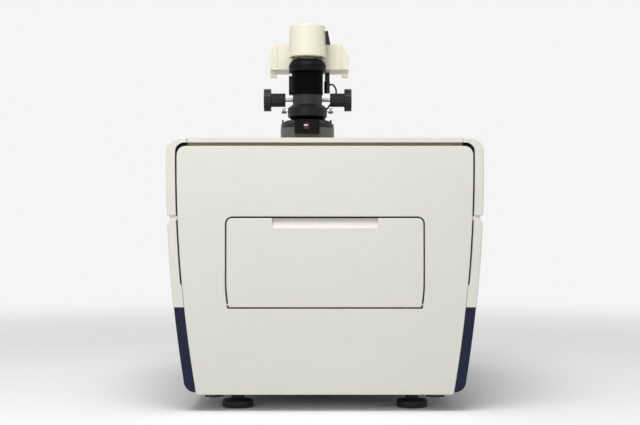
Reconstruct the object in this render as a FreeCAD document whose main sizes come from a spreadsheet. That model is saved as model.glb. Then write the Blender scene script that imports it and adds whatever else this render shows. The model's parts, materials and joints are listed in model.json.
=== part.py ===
"""High-content imaging system: a bench enclosure with a barrel-curved case, a drop-down
front door, a top lid and a transmitted-light stand on its roof.

Millimetres, +Z up. The front faces -Y and the origin is on the bench under the middle of
the case. Every piece is an object of one document and takes its sizes from the sheet.
"""
import FreeCAD, Part
import math
import os
import re
import Sketcher

# Driving sizes

SIZES = {
    # Case
    "half_width": 305.5,
    "depth": 790,
    "top_level": 526,
    "corner_radius": 27,
    "side_radius": 2900,
    "front_radius": 3050,
    "front_middle": 280,
    "skin": 4,
    "case_low": 32.6,
    "panel_inset": 20.5,
    "panel_drop": 16,
    "panel_corner": 17,
    "panel_rim": 14,
    "rim_width": 12,
    "seam": 3.2,
    "fine_seam": 0.4,
    "seam_end": 245,
    "cover_split": 373.3,
    "split_gap": 4.6,
    "split_tongue": 5,
    "split_setback": 3,
    "split_rib": 3,
    "split_overlap": 6,
    "cover_edge_round": 4,
    "lower_edge_round": 14,
    "flange_depth": 28,
    "skirt_top": 200.5,
    "skirt_low": 37,
    "skirt_corner": 22,
    "skirt_step": 1,
    "edge_round": 1.5,
    "cover_round": 2.5,
    "lid_ledge_inset": 8,
    "lid_ledge_setback": 19,
    "fit_gap": 0.3,
    "run_gap": 0.05,
    # Lid and roof
    "lid_inset": 40,
    "lid_edge": 9.2,
    "lid_gap": 0.6,
    "lid_rear": -112,
    "lid_pin_drop": 8,
    "lid_pin_inset": 4,
    "lid_pin_radius": 2.5,
    "lid_lug_x": 180,
    "lid_lug_width": 24,
    "lid_bracket_width": 10,
    "roof_rear_inset": 4,
    "deck_inset": 1.5,
    "deck_drop": 20,
    "deck_thickness": 4,
    "hatch_half": 150,
    "hatch_front": -330,
    "hatch_rear": -150,
    # Door
    "door_half": 190,
    "door_low": 199.2,
    "door_top": 372.8,
    "door_corner": 13,
    "door_taper": 4.5,
    "door_taper_start": 250,
    "door_seam": 3,
    "door_pin_rise": 6.2,
    "door_pin_depth": 4.7,
    "door_pin_radius": 2,
    "door_pin_length": 16,
    "grip_half": 101.5,
    "grip_height": 17,
    "grip_depth": 14,
    "grip_corner": 5,
    "grip_ledge": 4,
    # Chassis
    "base_low": 33,
    "base_thickness": 10,
    "base_inset": 67.5,
    "wall_inset": 73.5,
    "wall_thickness": 4,
    "rear_inset": 15,
    "rear_thickness": 3,
    "vent_count": 9,
    "vent_pitch": 12,
    "vent_length": 70,
    "vent_height": 5,
    "vent_x": -150,
    "vent_level": 330,
    # Feet
    "foot_x": 172,
    "foot_inset": 83,
    "foot_radius": 30.5,
    "foot_height": 14,
    "foot_collar_radius": 13,
    "stem_radius": 6,
    "bracket_x": 213.5,
    "bracket_width": 35,
    "bracket_drop": 7.4,
    "bracket_strap": 2,
    "bracket_inset": 2,
    "bracket_depth": 18,
    # Rear fittings
    "fan_x": 120,
    "fan_level": 150,
    "fan_size": 80,
    "fan_depth": 25,
    "fan_bore": 38,
    "fan_hub": 15,
    "fan_blades": 7,
    "inlet_x": -120,
    "inlet_level": 90,
    "inlet_width": 62,
    "inlet_height": 34,
    "socket_x": -132,
    "socket_width": 26,
    "socket_height": 18,
    "rocker_x": -103,
    "rocker_tilt": 7,
    # Stage
    "beam_in": 150,
    "beam_width": 48,
    "beam_low": 284,
    "beam_height": 18,
    "beam_front": -310,
    "beam_rear": 150,
    "leg_thickness": 20,
    "leg_front": -150,
    "leg_rear": 110,
    "rail_width": 12,
    "rail_height": 7,
    "rail_x": 174,
    "frame_half": 186,
    "frame_reach": 86,
    "frame_thickness": 18,
    "frame_clear": 2.5,
    "frame_open_x": 126,
    "frame_open_y": 70,
    "rod_radius": 4,
    "rod_y": 61,
    "holder_half": 70,
    "holder_reach": 67,
    "plate_length": 128.2,
    "plate_width": 86,
    "plate_lip": 5,
    "plate_floor": 2,
    # Objectives and focus
    "turret_offset": 34,
    "turret_radius": 54,
    "turret_low": 206,
    "turret_height": 16,
    "objective_count": 4,
    "objective_radius": 16,
    "objective_nose": 9,
    "objective_top": 300,
    "arm_low": 188,
    "arm_height": 16,
    "focus_plate_y": 26,
    "focus_plate_thickness": 13,
    "focus_plate_half": 45,
    "column_depth": 44,
    "column_top": 272,
    "wheel_low": 118,
    "wheel_height": 8,
    "wheel_radius": 50,
    "wheel_offset": 34,
    "wheel_places": 5,
    "wheel_hole": 12,
    "path_level": 85,
    "tube_lens_radius": 24,
    "tube_lens_near": 40,
    "tube_lens_length": 70,
    "camera_length": 70,
    "camera_half": 40,
    "camera_rise": 42,
    "engine_x": -157.5,
    "engine_half": 47.5,
    "engine_front": 150,
    "engine_height": 150,
    "boxes_inset": 50,
    "power_x": 77.5,
    "power_half": 47.5,
    "power_front": 120,
    "power_height": 210,
    "fin_count": 7,
    "fin_pitch": 12,
    "fin_slot": 6,
    "fin_depth": 20,
    # Transmitted-light stand
    "tower_x": -37.5,
    "tower_y": -20,
    "tower_base_radius": 59.5,
    "tower_base_height": 63,
    "tower_reach": 60,
    "tower_bore": 36,
    "clamp_radius": 58.7,
    "clamp_height": 17,
    "clamp_bevel": 8,
    "pillar_half": 27,
    "pillar_y": 62,
    "pillar_depth": 46,
    "boss_reach": 43,
    "boss_rise": 13,
    "head_rise": 9.1,
    "head_height": 56.4,
    "head_half": 88.6,
    "head_shift": 4.4,
    "head_shoulder_left": 12,
    "head_slope_left": 20,
    "head_shoulder_right": 18,
    "head_slope_right": 24,
    "head_cap": 16,
    "head_front": 25,
    "head_rear": 112,
    "lamp_gap": 4.5,
    "lamp_height": 70.5,
    "lamp_radius": 41.5,
    "lamp_taper": 2,
    "lamp_round": 2.5,
    "collector_rim": 11.5,
    "collector_height": 27.5,
    "collector_radius": 41,
    "collector_neck": 24,
    "light_tube_radius": 34.5,
    "light_tube_length": 51.5,
    "focus_travel": 20,
    "focus_spare": 2,
    "inner_tube_radius": 32.4,
    "inner_tube_length": 64,
    "ring_rise": 2,
    "ring_height": 34,
    "ring_radius": 43.5,
    "ring_bevel": 7.5,
    "barrel_radius": 29,
    "nose_radius": 24,
    "nose_drop": 207,
    "knob_rise": 19,
    "knob_y": 74,
    "knob_radius": 25.5,
    "knob_thickness": 16.2,
    "knob_inner": 83.5,
    "grip_barrel_radius": 15.4,
    "grip_barrel_inner": 51,
    "flute_count": 28,
    "flute_radius": 1.8,
    "flute_depth": 0.7,
    "shaft_radius": 3.9,
    "pinion_teeth": 16,
    "gear_module": 1,
    "thumb_rise": 21,
    "thumb_radius": 5.5,
    "thumb_stem_radius": 2,
    "thumb_root": 37,
    "thumb_inner": 46,
    "thumb_outer": 57.5,
    "lever_rise": 30,
    "lever_height": 33,
    "lever_reach": 9.6,
    "lever_eye": 2.5,
    "lever_pin_radius": 1.2,
    "lever_width": 16,
    "block_half": 27,
    "block_height": 14,
    "block_reach": 74,
    "lead_radius": 2,
    "plug_x": 44,
    "plug_y": 84,
    "plug_drop": 17.5,
    "plug_radius": 6.5,
    "plug_length": 27,
    "socket_half": 8,
}

FORMULAS = {
    "front_y": "-depth / 2",
    "rear_end": "depth / 2",
    "curve_level": "top_level - corner_radius",
    "panel_top": "top_level - panel_drop",
    "lid_half": "half_width - lid_inset",
    "deck_half": "lid_half - deck_inset",
    "base_half": "half_width - base_inset",
    "wall_x": "half_width - wall_inset",
    "rear_y": "rear_end - rear_inset",
    "rear_roof_end": "rear_end - roof_rear_inset",
    "foot_y": "rear_end - foot_inset",
    "base_top": "base_low + base_thickness",
    "lower_low": "skirt_top + fit_gap",
    "lower_high": "cover_split - split_gap / 2",
    "upper_low": "cover_split + split_gap / 2",
    "deck_low": "top_level - deck_drop",
    "deck_top": "deck_low + deck_thickness",
    "lid_pin_y": "lid_rear - lid_pin_inset",
    "lid_pin_z": "top_level - lid_pin_drop",
    "roof_front": "lid_pin_y + sqrt(lid_pin_drop^2 + lid_pin_inset^2) + 0.6",
    "door_pin_z": "door_low + door_pin_rise",
    "rail_low": "beam_low + beam_height",
    "frame_low": "rail_low + frame_clear",
    "frame_top": "frame_low + frame_thickness",
    "rod_z": "frame_low + frame_thickness / 2",
    "tower_base_top": "deck_top + tower_base_height",
    "clamp_top": "tower_base_top + clamp_height",
    "block_top": "tower_base_top + block_height",
    "ring_low": "clamp_top + ring_rise",
    "ring_top": "ring_low + ring_height",
    "nose_low": "ring_low - nose_drop",
    "thumb_level": "ring_low + thumb_rise",
    "inner_tube_top": "ring_top + inner_tube_length",
    "knob_level": "ring_top + knob_rise",
    "light_tube_low": "ring_top + focus_travel + focus_spare",
    "collector_low": "light_tube_low + light_tube_length",
    "collector_shoulder": "collector_low + collector_rim",
    "collector_top": "collector_low + collector_height",
    "boss_low": "knob_level + boss_rise",
    "head_low": "collector_low + head_rise",
    "head_top": "head_low + head_height",
    "lamp_low": "collector_top + lamp_gap",
    "lamp_top": "lamp_low + lamp_height",
    "lever_level": "lamp_low + lever_rise",
    "plug_level": "collector_low - plug_drop",
    "lever_pin_x": "tower_x + lamp_radius - lamp_taper + lever_eye + 0.5",
    "lever_pin_z": "lever_level + lever_height - lever_eye",
    "pinion_radius": "pinion_teeth * gear_module / 2",
}


def front_bow(level):
    """Y of the bowed front at a level, as a formula."""
    rise = f"(({level}) - front_middle)"
    return f"(front_y + front_radius - sqrt(front_radius^2 - {rise}^2))"


def side_x(level, inset="0"):
    """Half width of the barrel-curved case at a level, as a formula."""
    drop = f"(curve_level - ({level}))"
    return f"(half_width - side_radius + sqrt((side_radius - ({inset}))^2 - {drop}^2))"


FORMULAS["rim_y"] = front_bow("case_low") + " + panel_rim"
FORMULAS["door_pin_y"] = front_bow("door_low") + " + door_pin_depth"

doc = FreeCAD.newDocument("imaging_system")
sheet = doc.addObject("Spreadsheet::Sheet", "Sizes")
for row, (name, number) in enumerate(SIZES.items(), start=1):
    sheet.set(f"A{row}", name)
    sheet.set(f"B{row}", str(number))
    sheet.setAlias(f"B{row}", name)
doc.recompute()


def tied(text):
    """Turn the words of a formula into cells of the sheet."""
    def swap(match):
        word = match.group()
        if word in SIZES:
            return "Sizes." + word
        if word in FORMULAS:
            return "(" + tied(FORMULAS[word]) + ")"
        return word
    return re.sub(r"[a-z][a-z_0-9]*", swap, str(text))


def size(text):
    """The number that a formula gives now."""
    return float(sheet.evalExpression(tied(text)))


# Building helpers

PLANES = {"z": "XY_Plane", "y": "XZ_Plane", "x": "YZ_Plane"}
subparts = []
helpers = {"count": 0}


def scrap(kind, base="tool"):
    """A helper object that isn't a sub-part by itself."""
    helpers["count"] += 1
    return doc.addObject(kind, f"{base}{helpers['count']}")


def keep(name, piece):
    """Name a finished sub-part."""
    piece.Label = name
    subparts.append(piece)
    return piece


def box(x, y, z):
    """A box between two formulas on each axis."""
    piece = scrap("Part::Box", "box")
    for side, axis, (low, high) in zip(("Length", "Width", "Height"), "xyz", (x, y, z)):
        piece.setExpression(side, tied(f"({high}) - ({low})"))
        piece.setExpression("Placement.Base." + axis, tied(low))
    return piece


def rod(axis, centre, radius, low, high, top_radius=None):
    """A cylinder, or a cone, along an axis; the centre is given on the other two axes."""
    piece = scrap("Part::Cylinder" if top_radius is None else "Part::Cone", "rod")
    if top_radius is None:
        piece.setExpression("Radius", tied(radius))
    else:
        piece.setExpression("Radius1", tied(radius))
        piece.setExpression("Radius2", tied(top_radius))
    piece.setExpression("Height", tied(f"({high}) - ({low})"))
    turn = {"x": (0, 1, 0, 90), "y": (-1, 0, 0, 90), "z": (0, 0, 1, 0)}[axis]
    piece.Placement = FreeCAD.Placement(FreeCAD.Vector(), FreeCAD.Rotation(
        FreeCAD.Vector(*turn[:3]), turn[3]))
    places = dict(zip([other for other in "xyz" if other != axis], centre))
    places[axis] = low
    for along, place in places.items():
        piece.setExpression("Placement.Base." + along, tied(place))
    return piece


def fuse(*pieces):
    joined = scrap("Part::MultiFuse", "fuse")
    joined.Shapes = list(pieces)
    joined.Refine = True
    return joined


def cut(base, *tools):
    result = scrap("Part::Cut", "cut")
    result.Base = base
    result.Tool = tools[0] if len(tools) == 1 else fuse(*tools)
    result.Refine = True
    return result


def common(first, second):
    result = scrap("Part::Common", "common")
    result.Base = first
    result.Tool = second
    result.Refine = True
    return result


def group(*pieces):
    result = scrap("Part::Compound", "group")
    result.Links = list(pieces)
    return result


def mirror(piece):
    """The same piece on the other side of the case's middle plane."""
    result = scrap("Part::Mirroring", "mirror")
    result.Source = piece
    result.Base = FreeCAD.Vector(0, 0, 0)
    result.Normal = FreeCAD.Vector(1, 0, 0)
    return result


def draw(sketch, outline):
    """Draw one closed outline. A point is (across, up) or (across, up, arc radius, side):
    the arc runs to the next point and bulges to the left for side 1, right for -1.
    A circle is ("circle", across, up, radius)."""
    if outline[0] == "circle":
        draw_circle(sketch, *outline[1:])
        return
    places = [FreeCAD.Vector(size(point[0]), size(point[1]), 0) for point in outline]
    first, pieces = sketch.GeometryCount, []
    for index, point in enumerate(outline):
        start, end = places[index], places[(index + 1) % len(outline)]
        if len(point) == 2:
            pieces.append(Part.LineSegment(start, end))
            continue
        radius, side = size(point[2]), point[3]
        chord = end - start
        sagitta = radius - math.sqrt(max(radius ** 2 - (chord.Length / 2) ** 2, 0))
        left = FreeCAD.Vector(-chord.y, chord.x, 0).normalize()
        pieces.append(Part.Arc(start, (start + end) / 2 + left * sagitta * side, end))
    sketch.addGeometry(pieces, False)
    ends = []
    for index in range(len(pieces)):
        swapped = (sketch.getPoint(first + index, 1) - places[index]).Length > 1e-4
        ends.append((2, 1) if swapped else (1, 2))
    limits, formulas = [], []
    for index, point in enumerate(outline):
        piece, after = first + index, (index + 1) % len(outline)
        limits.append(Sketcher.Constraint(
            "Coincident", piece, ends[index][1], first + after, ends[after][0]))
        formulas.append(None)
        for kind, number, formula in (("DistanceX", places[index].x, point[0]),
                                      ("DistanceY", places[index].y, point[1])):
            limits.append(Sketcher.Constraint(kind, -1, 1, piece, ends[index][0], number))
            formulas.append(formula)
        chord = (places[after] - places[index]).Length
        if len(point) == 4 and chord < 1.999 * size(point[2]):
            limits.append(Sketcher.Constraint("Radius", piece, size(point[2])))
            formulas.append(point[2])
    tie(sketch, limits, formulas)


def draw_circle(sketch, across, up, radius):
    """Draw one circle with its centre and radius tied to formulas."""
    centre = FreeCAD.Vector(size(across), size(up), 0)
    piece = sketch.addGeometry(Part.Circle(centre, FreeCAD.Vector(0, 0, 1), size(radius)))
    tie(sketch, [Sketcher.Constraint("DistanceX", -1, 1, piece, 3, centre.x),
                 Sketcher.Constraint("DistanceY", -1, 1, piece, 3, centre.y),
                 Sketcher.Constraint("Radius", piece, size(radius))], [across, up, radius])


def tie(sketch, limits, formulas):
    """Add constraints to a sketch and bind each to its formula."""
    made = sketch.addConstraint(limits)
    for index, formula in zip(made, formulas):
        if formula is not None:
            sketch.setExpression(f"Constraints[{index}]", tied(formula))


def sketch_on(body, axis, place, outlines):
    """A sketch square to an axis, at a place along it."""
    sketch = body.newObject("Sketcher::SketchObject", "outline")
    plane = [face for face in body.Origin.OriginFeatures if face.Role == PLANES[axis]][0]
    sketch.AttachmentSupport = (plane, [""])
    sketch.MapMode = "FlatFace"
    offset = f"-({place})" if axis == "y" else place
    sketch.setExpression("AttachmentOffset.Base.z", tied(offset))
    for outline in outlines:
        draw(sketch, outline)
    return sketch


def feature(body, kind, axis, low, high, outlines):
    """A pad or pocket between two places along an axis."""
    start = high if axis == "y" else low
    made = body.newObject("PartDesign::" + kind, kind)
    made.Profile = sketch_on(body, axis, start, outlines)
    made.setExpression("Length", tied(f"({high}) - ({low})"))
    if kind == "Pocket":
        made.Reversed = True
    return made


def plate(axis, low, high, *outlines):
    """A body with one pad, ready for more features."""
    body = scrap("PartDesign::Body", "body")
    feature(body, "Pad", axis, low, high, outlines)
    return body


def turned(x, y, outline):
    """A body turned about a vertical axis; the outline is (radius, level) points."""
    body = scrap("PartDesign::Body", "body")
    made = body.newObject("PartDesign::Revolution", "turning")
    sketch = sketch_on(body, "y", "0", [outline])
    made.Profile = sketch
    made.ReferenceAxis = (sketch, ["V_Axis"])
    made.Angle = 360
    body.setExpression("Placement.Base.x", tied(x))
    body.setExpression("Placement.Base.y", tied(y))
    return body


def soften(piece, radius, chosen):
    """Round the edges of a piece that a test picks by their middle point."""
    doc.recompute()
    made = scrap("Part::Fillet", "round")
    made.Base = piece
    made.Edges = [(index, size(radius), size(radius))
                  for index, edge in enumerate(piece.Shape.Edges, start=1)
                  if chosen(edge.valueAt((edge.FirstParameter + edge.LastParameter) / 2))]
    return made


def fluted(place, radius, low, high, count, flute):
    """A short cylinder along X with round flutes cut into its rim."""
    body = plate("x", "0", f"({high}) - ({low})", circle("0", "0", radius))
    first = feature(body, "Pocket", "x", "0", f"({high}) - ({low})", [
        circle("0", f"({radius}) + ({flute}) - flute_depth", flute)])
    ring = body.newObject("PartDesign::PolarPattern", "flutes")
    ring.Originals = [first]
    ring.Axis = (first.Profile[0], ["N_Axis"])
    ring.Angle = 360
    ring.setExpression("Occurrences", tied(count))
    body.Tip = ring
    for axis, formula in zip("xyz", (low, *place)):
        body.setExpression("Placement.Base." + axis, tied(formula))
    return body


def rectangle(left, right, low, high):
    return [(left, low), (right, low), (right, high), (left, high)]


def rounded(left, right, low, high, radius):
    """A rectangle with round corners, drawn anticlockwise."""
    r = radius
    return [(f"{left} + {r}", low), (f"{right} - {r}", low, r, -1),
            (right, f"{low} + {r}"), (right, f"{high} - {r}", r, -1),
            (f"{right} - {r}", high), (f"{left} + {r}", high, r, -1),
            (left, f"{high} - {r}"), (left, f"{low} + {r}", r, -1)]


def circle(across, up, radius):
    return ("circle", across, up, radius)


# Case: every cover is cut by one prism whose front is the bow of the case

def bow_y(level):
    """Y of the bowed front at a level, as a number."""
    radius = size("front_radius")
    return size("front_y") + radius - math.sqrt(radius ** 2 - (level - size("front_middle")) ** 2)


def on_front(point):
    """True for a point that lies on the bowed front."""
    return abs(point.y - bow_y(point.z)) < 0.02


def on_outer_front(point):
    """True for a point on the outer front edge of a cover, its round corner included."""
    beside = size(side_x(str(point.z))) - size("corner_radius") / 3
    return on_front(point) and abs(point.x) > beside


def bowed_prism(inset):
    """The side view of the whole case, set back from the front by an inset."""
    low, high, back = "base_low - 60", "top_level + 60", "rear_end + 60"
    outline = [(f"{front_bow(low)} + ({inset})", low), (back, low), (back, high),
               (f"{front_bow(high)} + ({inset})", high, f"front_radius - ({inset})", -1)]
    return plate("x", "-half_width - 40", "half_width + 40", outline)


case_prism = bowed_prism("0")
inner_prism = bowed_prism("skin")


def symmetric(right):
    """Close an outline whose right half is given from the bottom to the top."""
    left = []
    for index in range(len(right) - 1, -1, -1):
        arc = right[index - 1][2:] if index else ()
        left.append((f"-({right[index][0]})", right[index][1]) + tuple(arc))
    return right + left


panel_edge = "panel_inset - fine_seam"
seam_edge = "panel_inset - seam"


def upper_cover_outline(thickness, inner):
    """Right upper cover seen from the front, from the split up and round the corner."""
    low, edge = "upper_low", "cover_edge_round"
    outline = [(f"{side_x(low)} - {edge}", low, edge, -1),
               (side_x(f"{low} + {edge}"), f"{low} + {edge}", "side_radius", -1),
               ("half_width", "curve_level", "corner_radius", -1),
               ("half_width - corner_radius", "top_level"),
               ("lid_half + lid_gap", "top_level"),
               ("lid_half + lid_gap", f"top_level - {thickness}")]
    return outline + inner


def upper_cover_flange():
    edge_x = "half_width - panel_inset + seam"
    corner = "corner_radius - lid_edge"
    return upper_cover_outline("lid_edge", [
        (f"{edge_x} - ({corner})", "top_level - lid_edge", corner, 1),
        (edge_x, f"top_level - lid_edge - ({corner})", "side_radius - panel_inset", 1),
        (side_x("upper_low", seam_edge), "upper_low")])


def upper_cover_skin():
    return upper_cover_outline("skin", [
        ("half_width - corner_radius", "top_level - skin", "corner_radius - skin", 1),
        ("half_width - skin", "curve_level", "side_radius - skin", 1),
        (side_x("upper_low", "skin"), "upper_low")])


def lower_cover_outline(inner):
    """Right lower cover seen from the front, up to its round upper corner."""
    edge = "lower_edge_round"
    corner = f"(lower_high - {edge})"
    return [(side_x("lower_low"), "lower_low", "side_radius", -1),
            (side_x(corner), corner, edge, -1),
            (f"{side_x('lower_high')} - {edge}", "lower_high")] + inner


def lower_cover_flange():
    return lower_cover_outline([
        (side_x("lower_high", seam_edge), "lower_high", "side_radius - panel_inset", 1),
        (side_x("seam_end", seam_edge), "seam_end"),
        (side_x("seam_end - seam", panel_edge), "seam_end - seam",
         "side_radius - panel_inset", 1),
        (side_x("lower_low", panel_edge), "lower_low")])


def lower_cover_skin():
    edge = "lower_edge_round"
    corner = f"(lower_high - {edge})"
    return lower_cover_outline([
        (f"{side_x('lower_high')} - {edge}", "lower_high - skin", f"{edge} - skin", 1),
        (side_x(corner, "skin"), corner, "side_radius - skin", 1),
        (side_x("lower_low", "skin"), "lower_low")])


def skirt_outline(inner):
    """Right skirt seen from the front, with its round lower corner."""
    turn = "(skirt_low + skirt_corner)"
    bottom = f"{side_x(turn, 'skirt_step')} - skirt_corner"
    return [(bottom, "skirt_low", "skirt_corner", -1),
            (side_x(turn, "skirt_step"), turn, "side_radius - skirt_step", -1),
            (side_x("skirt_top", "skirt_step"), "skirt_top")] + inner


def cover(flange, skin_outline, *ribs):
    """A thin moulded cover with a return flange along its front and rear edges."""
    body = plate("y", "front_y", "rear_end", skin_outline)
    feature(body, "Pad", "y", "front_y", "front_y + flange_depth", [flange])
    for low, high, rib in ribs:
        feature(body, "Pad", "y", low, high, [rib])
    feature(body, "Pad", "y", "rear_end - skin", "rear_end", [flange])
    return soften(common(body, case_prism), "cover_round", on_outer_front)


turn_level = "(skirt_low + skirt_corner)"
lip_level = "(skirt_low + skin - skirt_step)"
split_x = side_x("cover_split")
split_tongue = (f"{front_bow('cover_split')} + split_setback", "front_y + flange_depth",
                rectangle(f"{split_x} - panel_inset + fit_gap", f"{split_x} - split_tongue",
                          "lower_high - skin", "upper_low - fit_gap"))
split_rib = ("front_y + flange_depth + fit_gap", "rear_end - skin - fit_gap",
             rectangle(f"{split_x} - lower_edge_round - split_rib / 2",
                       f"{split_x} - lower_edge_round + split_rib / 2",
                       "lower_high - skin", "upper_low + split_overlap"))
right_covers = {
    "upper_side_cover": cover(upper_cover_flange(), upper_cover_skin()),
    "lower_side_cover": cover(lower_cover_flange(), lower_cover_skin(), split_tongue,
                              split_rib),
    "side_skirt": cover(
        skirt_outline([(side_x("skirt_top", panel_edge), "skirt_top",
                        "side_radius - panel_inset", 1),
                       (side_x("skirt_low", panel_edge), "skirt_low")]),
        skirt_outline([(side_x("skirt_top", "skin"), "skirt_top", "side_radius - skin", 1),
                       (side_x(turn_level, "skin"), turn_level,
                        "skirt_corner + skirt_step - skin", 1),
                       (f"{side_x(turn_level, 'skirt_step')} - skirt_corner", lip_level)])),
}
skirt_lip = box(("base_half + fit_gap", f"{side_x(turn_level, 'skirt_step')} - skirt_corner"),
                ("rim_y + fit_gap", "rear_y - fit_gap"), ("skirt_low", lip_level))
right_covers["side_skirt"] = fuse(right_covers["side_skirt"], skirt_lip)
for cover_name, right_cover in right_covers.items():
    keep(cover_name + "_right", right_cover)
    keep(cover_name + "_left", mirror(right_cover))


# Front panel and door

def panel_outline(inset):
    """Front panel seen from the front, drawn in by an inset."""
    low, high = f"(case_low + {inset})", f"(panel_top - {inset})"
    foot, corner = "6", f"(panel_corner - {inset} * 0.5)"
    edge = f"panel_inset + {inset}"
    return symmetric([
        (f"{side_x(f'{low} + {foot}', edge)} - {foot}", low, foot, -1),
        (side_x(f"{low} + {foot}", edge), f"{low} + {foot}", f"side_radius - ({edge})", -1),
        (side_x(f"{high} - {corner}", edge), f"{high} - {corner}", corner, -1),
        (f"{side_x(f'{high} - {corner}', edge)} - {corner}", high)])


def door_outline(grow):
    """Door seen from the front; its sides curve in towards the bottom corners."""
    bend = "((door_taper_start - door_low)^2 + door_taper^2) / (2 * door_taper)"
    return symmetric([
        (f"door_half - door_taper + {grow}", f"door_low - {grow}",
         f"{bend} + {grow} * 2", -1),
        (f"door_half + {grow}", "door_taper_start"),
        (f"door_half + {grow}", "door_top - door_corner", f"door_corner + {grow}", -1),
        (f"door_half - door_corner", f"door_top + {grow}")])


def door_pin_bores(clearance):
    """Tools for both pivot bores, or the pins themselves when the clearance is 0."""
    pins = []
    inner, outer = "door_half - door_pin_length", "door_half + door_pin_length / 2"
    for low, high in ((inner, outer), (f"-({outer})", f"-({inner})")):
        pins.append(rod("x", ("door_pin_y", "door_pin_z"), f"door_pin_radius + {clearance}",
                        low, high))
    return pins


panel_hollow = common(plate("y", "front_y", "rim_y + 1", panel_outline("rim_width"),
                            door_outline("(door_seam / 2 + rim_width)")), inner_prism)
panel_blank = common(plate("y", "front_y", "rim_y", panel_outline("0"),
                           door_outline("(door_seam / 2)")), case_prism)
panel_shell = soften(panel_blank, "edge_round", on_front)
lid_ledge = box(("lid_ledge_inset - lid_half", "lid_half - lid_ledge_inset"),
                ("front_y + lid_ledge_setback", "rim_y"),
                ("panel_top - 1", "top_level - lid_edge - fit_gap"))
keep("front_panel", fuse(cut(panel_shell, panel_hollow, *door_pin_bores("run_gap")), lid_ledge))

door_blank = common(plate("y", "front_y", "rim_y", door_outline("(0 - door_seam / 2)")),
                    case_prism)
door_hollow = common(plate("y", "front_y", "rim_y + 1", rounded(
    "(rim_width - door_half)", "(door_half - rim_width)", "(door_low + rim_width)",
    "(door_top - grip_height - rim_width)", "(door_corner / 2)")), inner_prism)
ledge_level = "(door_top - grip_height - grip_ledge)"
grip_slope = plate("x", "-grip_half", "grip_half", [
    ("front_y - 5", "door_top + 2"), ("front_y - 5", ledge_level),
    (front_bow(ledge_level), ledge_level),
    (f"{front_bow('door_top - grip_height')} + 2.5", "door_top - grip_height"),
    (f"{front_bow('door_top')} + grip_depth", "door_top + 2")])
grip_scoop = common(grip_slope, plate("y", "front_y - 5", "rim_y", rounded(
    "-grip_half", "grip_half", ledge_level, "(door_top + 20)", "grip_corner")))
door_shell = soften(door_blank, "edge_round", on_front)
keep("front_door", cut(door_shell, door_hollow, grip_scoop, *door_pin_bores("run_gap")))
keep("door_pivot_pins", group(*door_pin_bores("0")))

# Chassis

base = plate("z", "base_low", "base_top",
             rounded("-base_half", "base_half", "rim_y", "rear_y", "8"))
feature(base, "Pocket", "z", "base_low", "base_top",
        [circle(f"{x} * foot_x", f"{y} * foot_y", "(stem_radius + run_gap)")
         for x in (-1, 1) for y in (-1, 1)])
keep("base_plate", base)

wall = plate("x", "wall_x", "wall_x + wall_thickness",
             rectangle("rim_y", "rear_y", "base_top", "deck_low"))
feature(wall, "Pocket", "x", "wall_x", "wall_x + wall_thickness",
        [circle(f"{place} * 110", f"{level}", "34")
         for place in (-2, -1, 0, 1, 2) for level in ("150", "400")])
keep("chassis_walls", group(wall, mirror(wall)))

deck = plate("z", "deck_low", "deck_top",
             rectangle("-deck_half", "deck_half", "rim_y", "rear_y"),
             rounded("-hatch_half", "hatch_half", "hatch_front", "hatch_rear", "12"),
             circle("tower_x", "tower_y", "tower_bore"))
feature(deck, "Pad", "z", "deck_top", "top_level - lid_edge - fit_gap / 3", [
    circle(f"{side} * (lid_half - 8)", "rim_y + 6", "4") for side in (-1, 1)])
keep("top_deck", deck)

rear_inset = "(skin + fit_gap)"
rear_panel = plate("y", "rear_y", "rear_y + rear_thickness", symmetric([
    (f"{side_x(turn_level, rear_inset)} - (skirt_corner + skirt_step - {rear_inset})",
     f"skirt_low + {rear_inset} - skirt_step",
     f"skirt_corner + skirt_step - {rear_inset}", -1),
    (side_x(turn_level, rear_inset), turn_level, f"side_radius - {rear_inset}", -1),
    (f"half_width - {rear_inset}", "curve_level", f"corner_radius - {rear_inset}", -1),
    ("half_width - corner_radius", f"top_level - {rear_inset}")]))


def slot(middle, level, length, height):
    """A slot with round ends, seen from the front."""
    half, tip = f"({length}) / 2 - ({height}) / 2", f"({height}) / 2"
    return [(f"{middle} - ({half})", f"{level} - {tip}"),
            (f"{middle} + ({half})", f"{level} - {tip}", tip, -1),
            (f"{middle} + ({half})", f"{level} + {tip}"),
            (f"{middle} - ({half})", f"{level} + {tip}", tip, -1)]


for row in (-2, -1, 0, 1, 2):
    height = f"({row} * fan_bore / 3.2)"
    feature(rear_panel, "Pocket", "y", "rear_y", "rear_y + rear_thickness", [
        slot("fan_x", f"fan_level + {height}", f"2 * sqrt(fan_bore^2 - {height}^2) - 8",
             "fan_bore / 4.4")])
feature(rear_panel, "Pocket", "y", "rear_y", "rear_y + rear_thickness", [
    rounded("(inlet_x - inlet_width / 2)", "(inlet_x + inlet_width / 2)",
            "(inlet_level - inlet_height / 2)", "(inlet_level + inlet_height / 2)", "3")])
notch_x = f"{side_x('cover_split')} - lower_edge_round - split_rib"
feature(rear_panel, "Pocket", "y", "rear_y", "rear_y + rear_thickness", [
    rectangle(low, high, "lower_high - lower_edge_round - fit_gap",
              "upper_low + split_overlap + fit_gap")
    for low, high in (("-half_width", f"-({notch_x})"), (notch_x, "half_width"))])
vent = feature(rear_panel, "Pocket", "y", "rear_y", "rear_y + rear_thickness",
               [slot(f"{side} * vent_x", "vent_level", "vent_length", "vent_height")
                for side in (-1, 1)])
vents = rear_panel.newObject("PartDesign::LinearPattern", "vents")
vents.Originals = [vent]
vents.Direction = (vent.Profile[0], ["V_Axis"])
vents.setExpression("Length", tied("(vent_count - 1) * vent_pitch"))
vents.setExpression("Occurrences", tied("vent_count"))
rear_panel.Tip = vents
keep("rear_panel", rear_panel)

# Lid and roof

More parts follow.
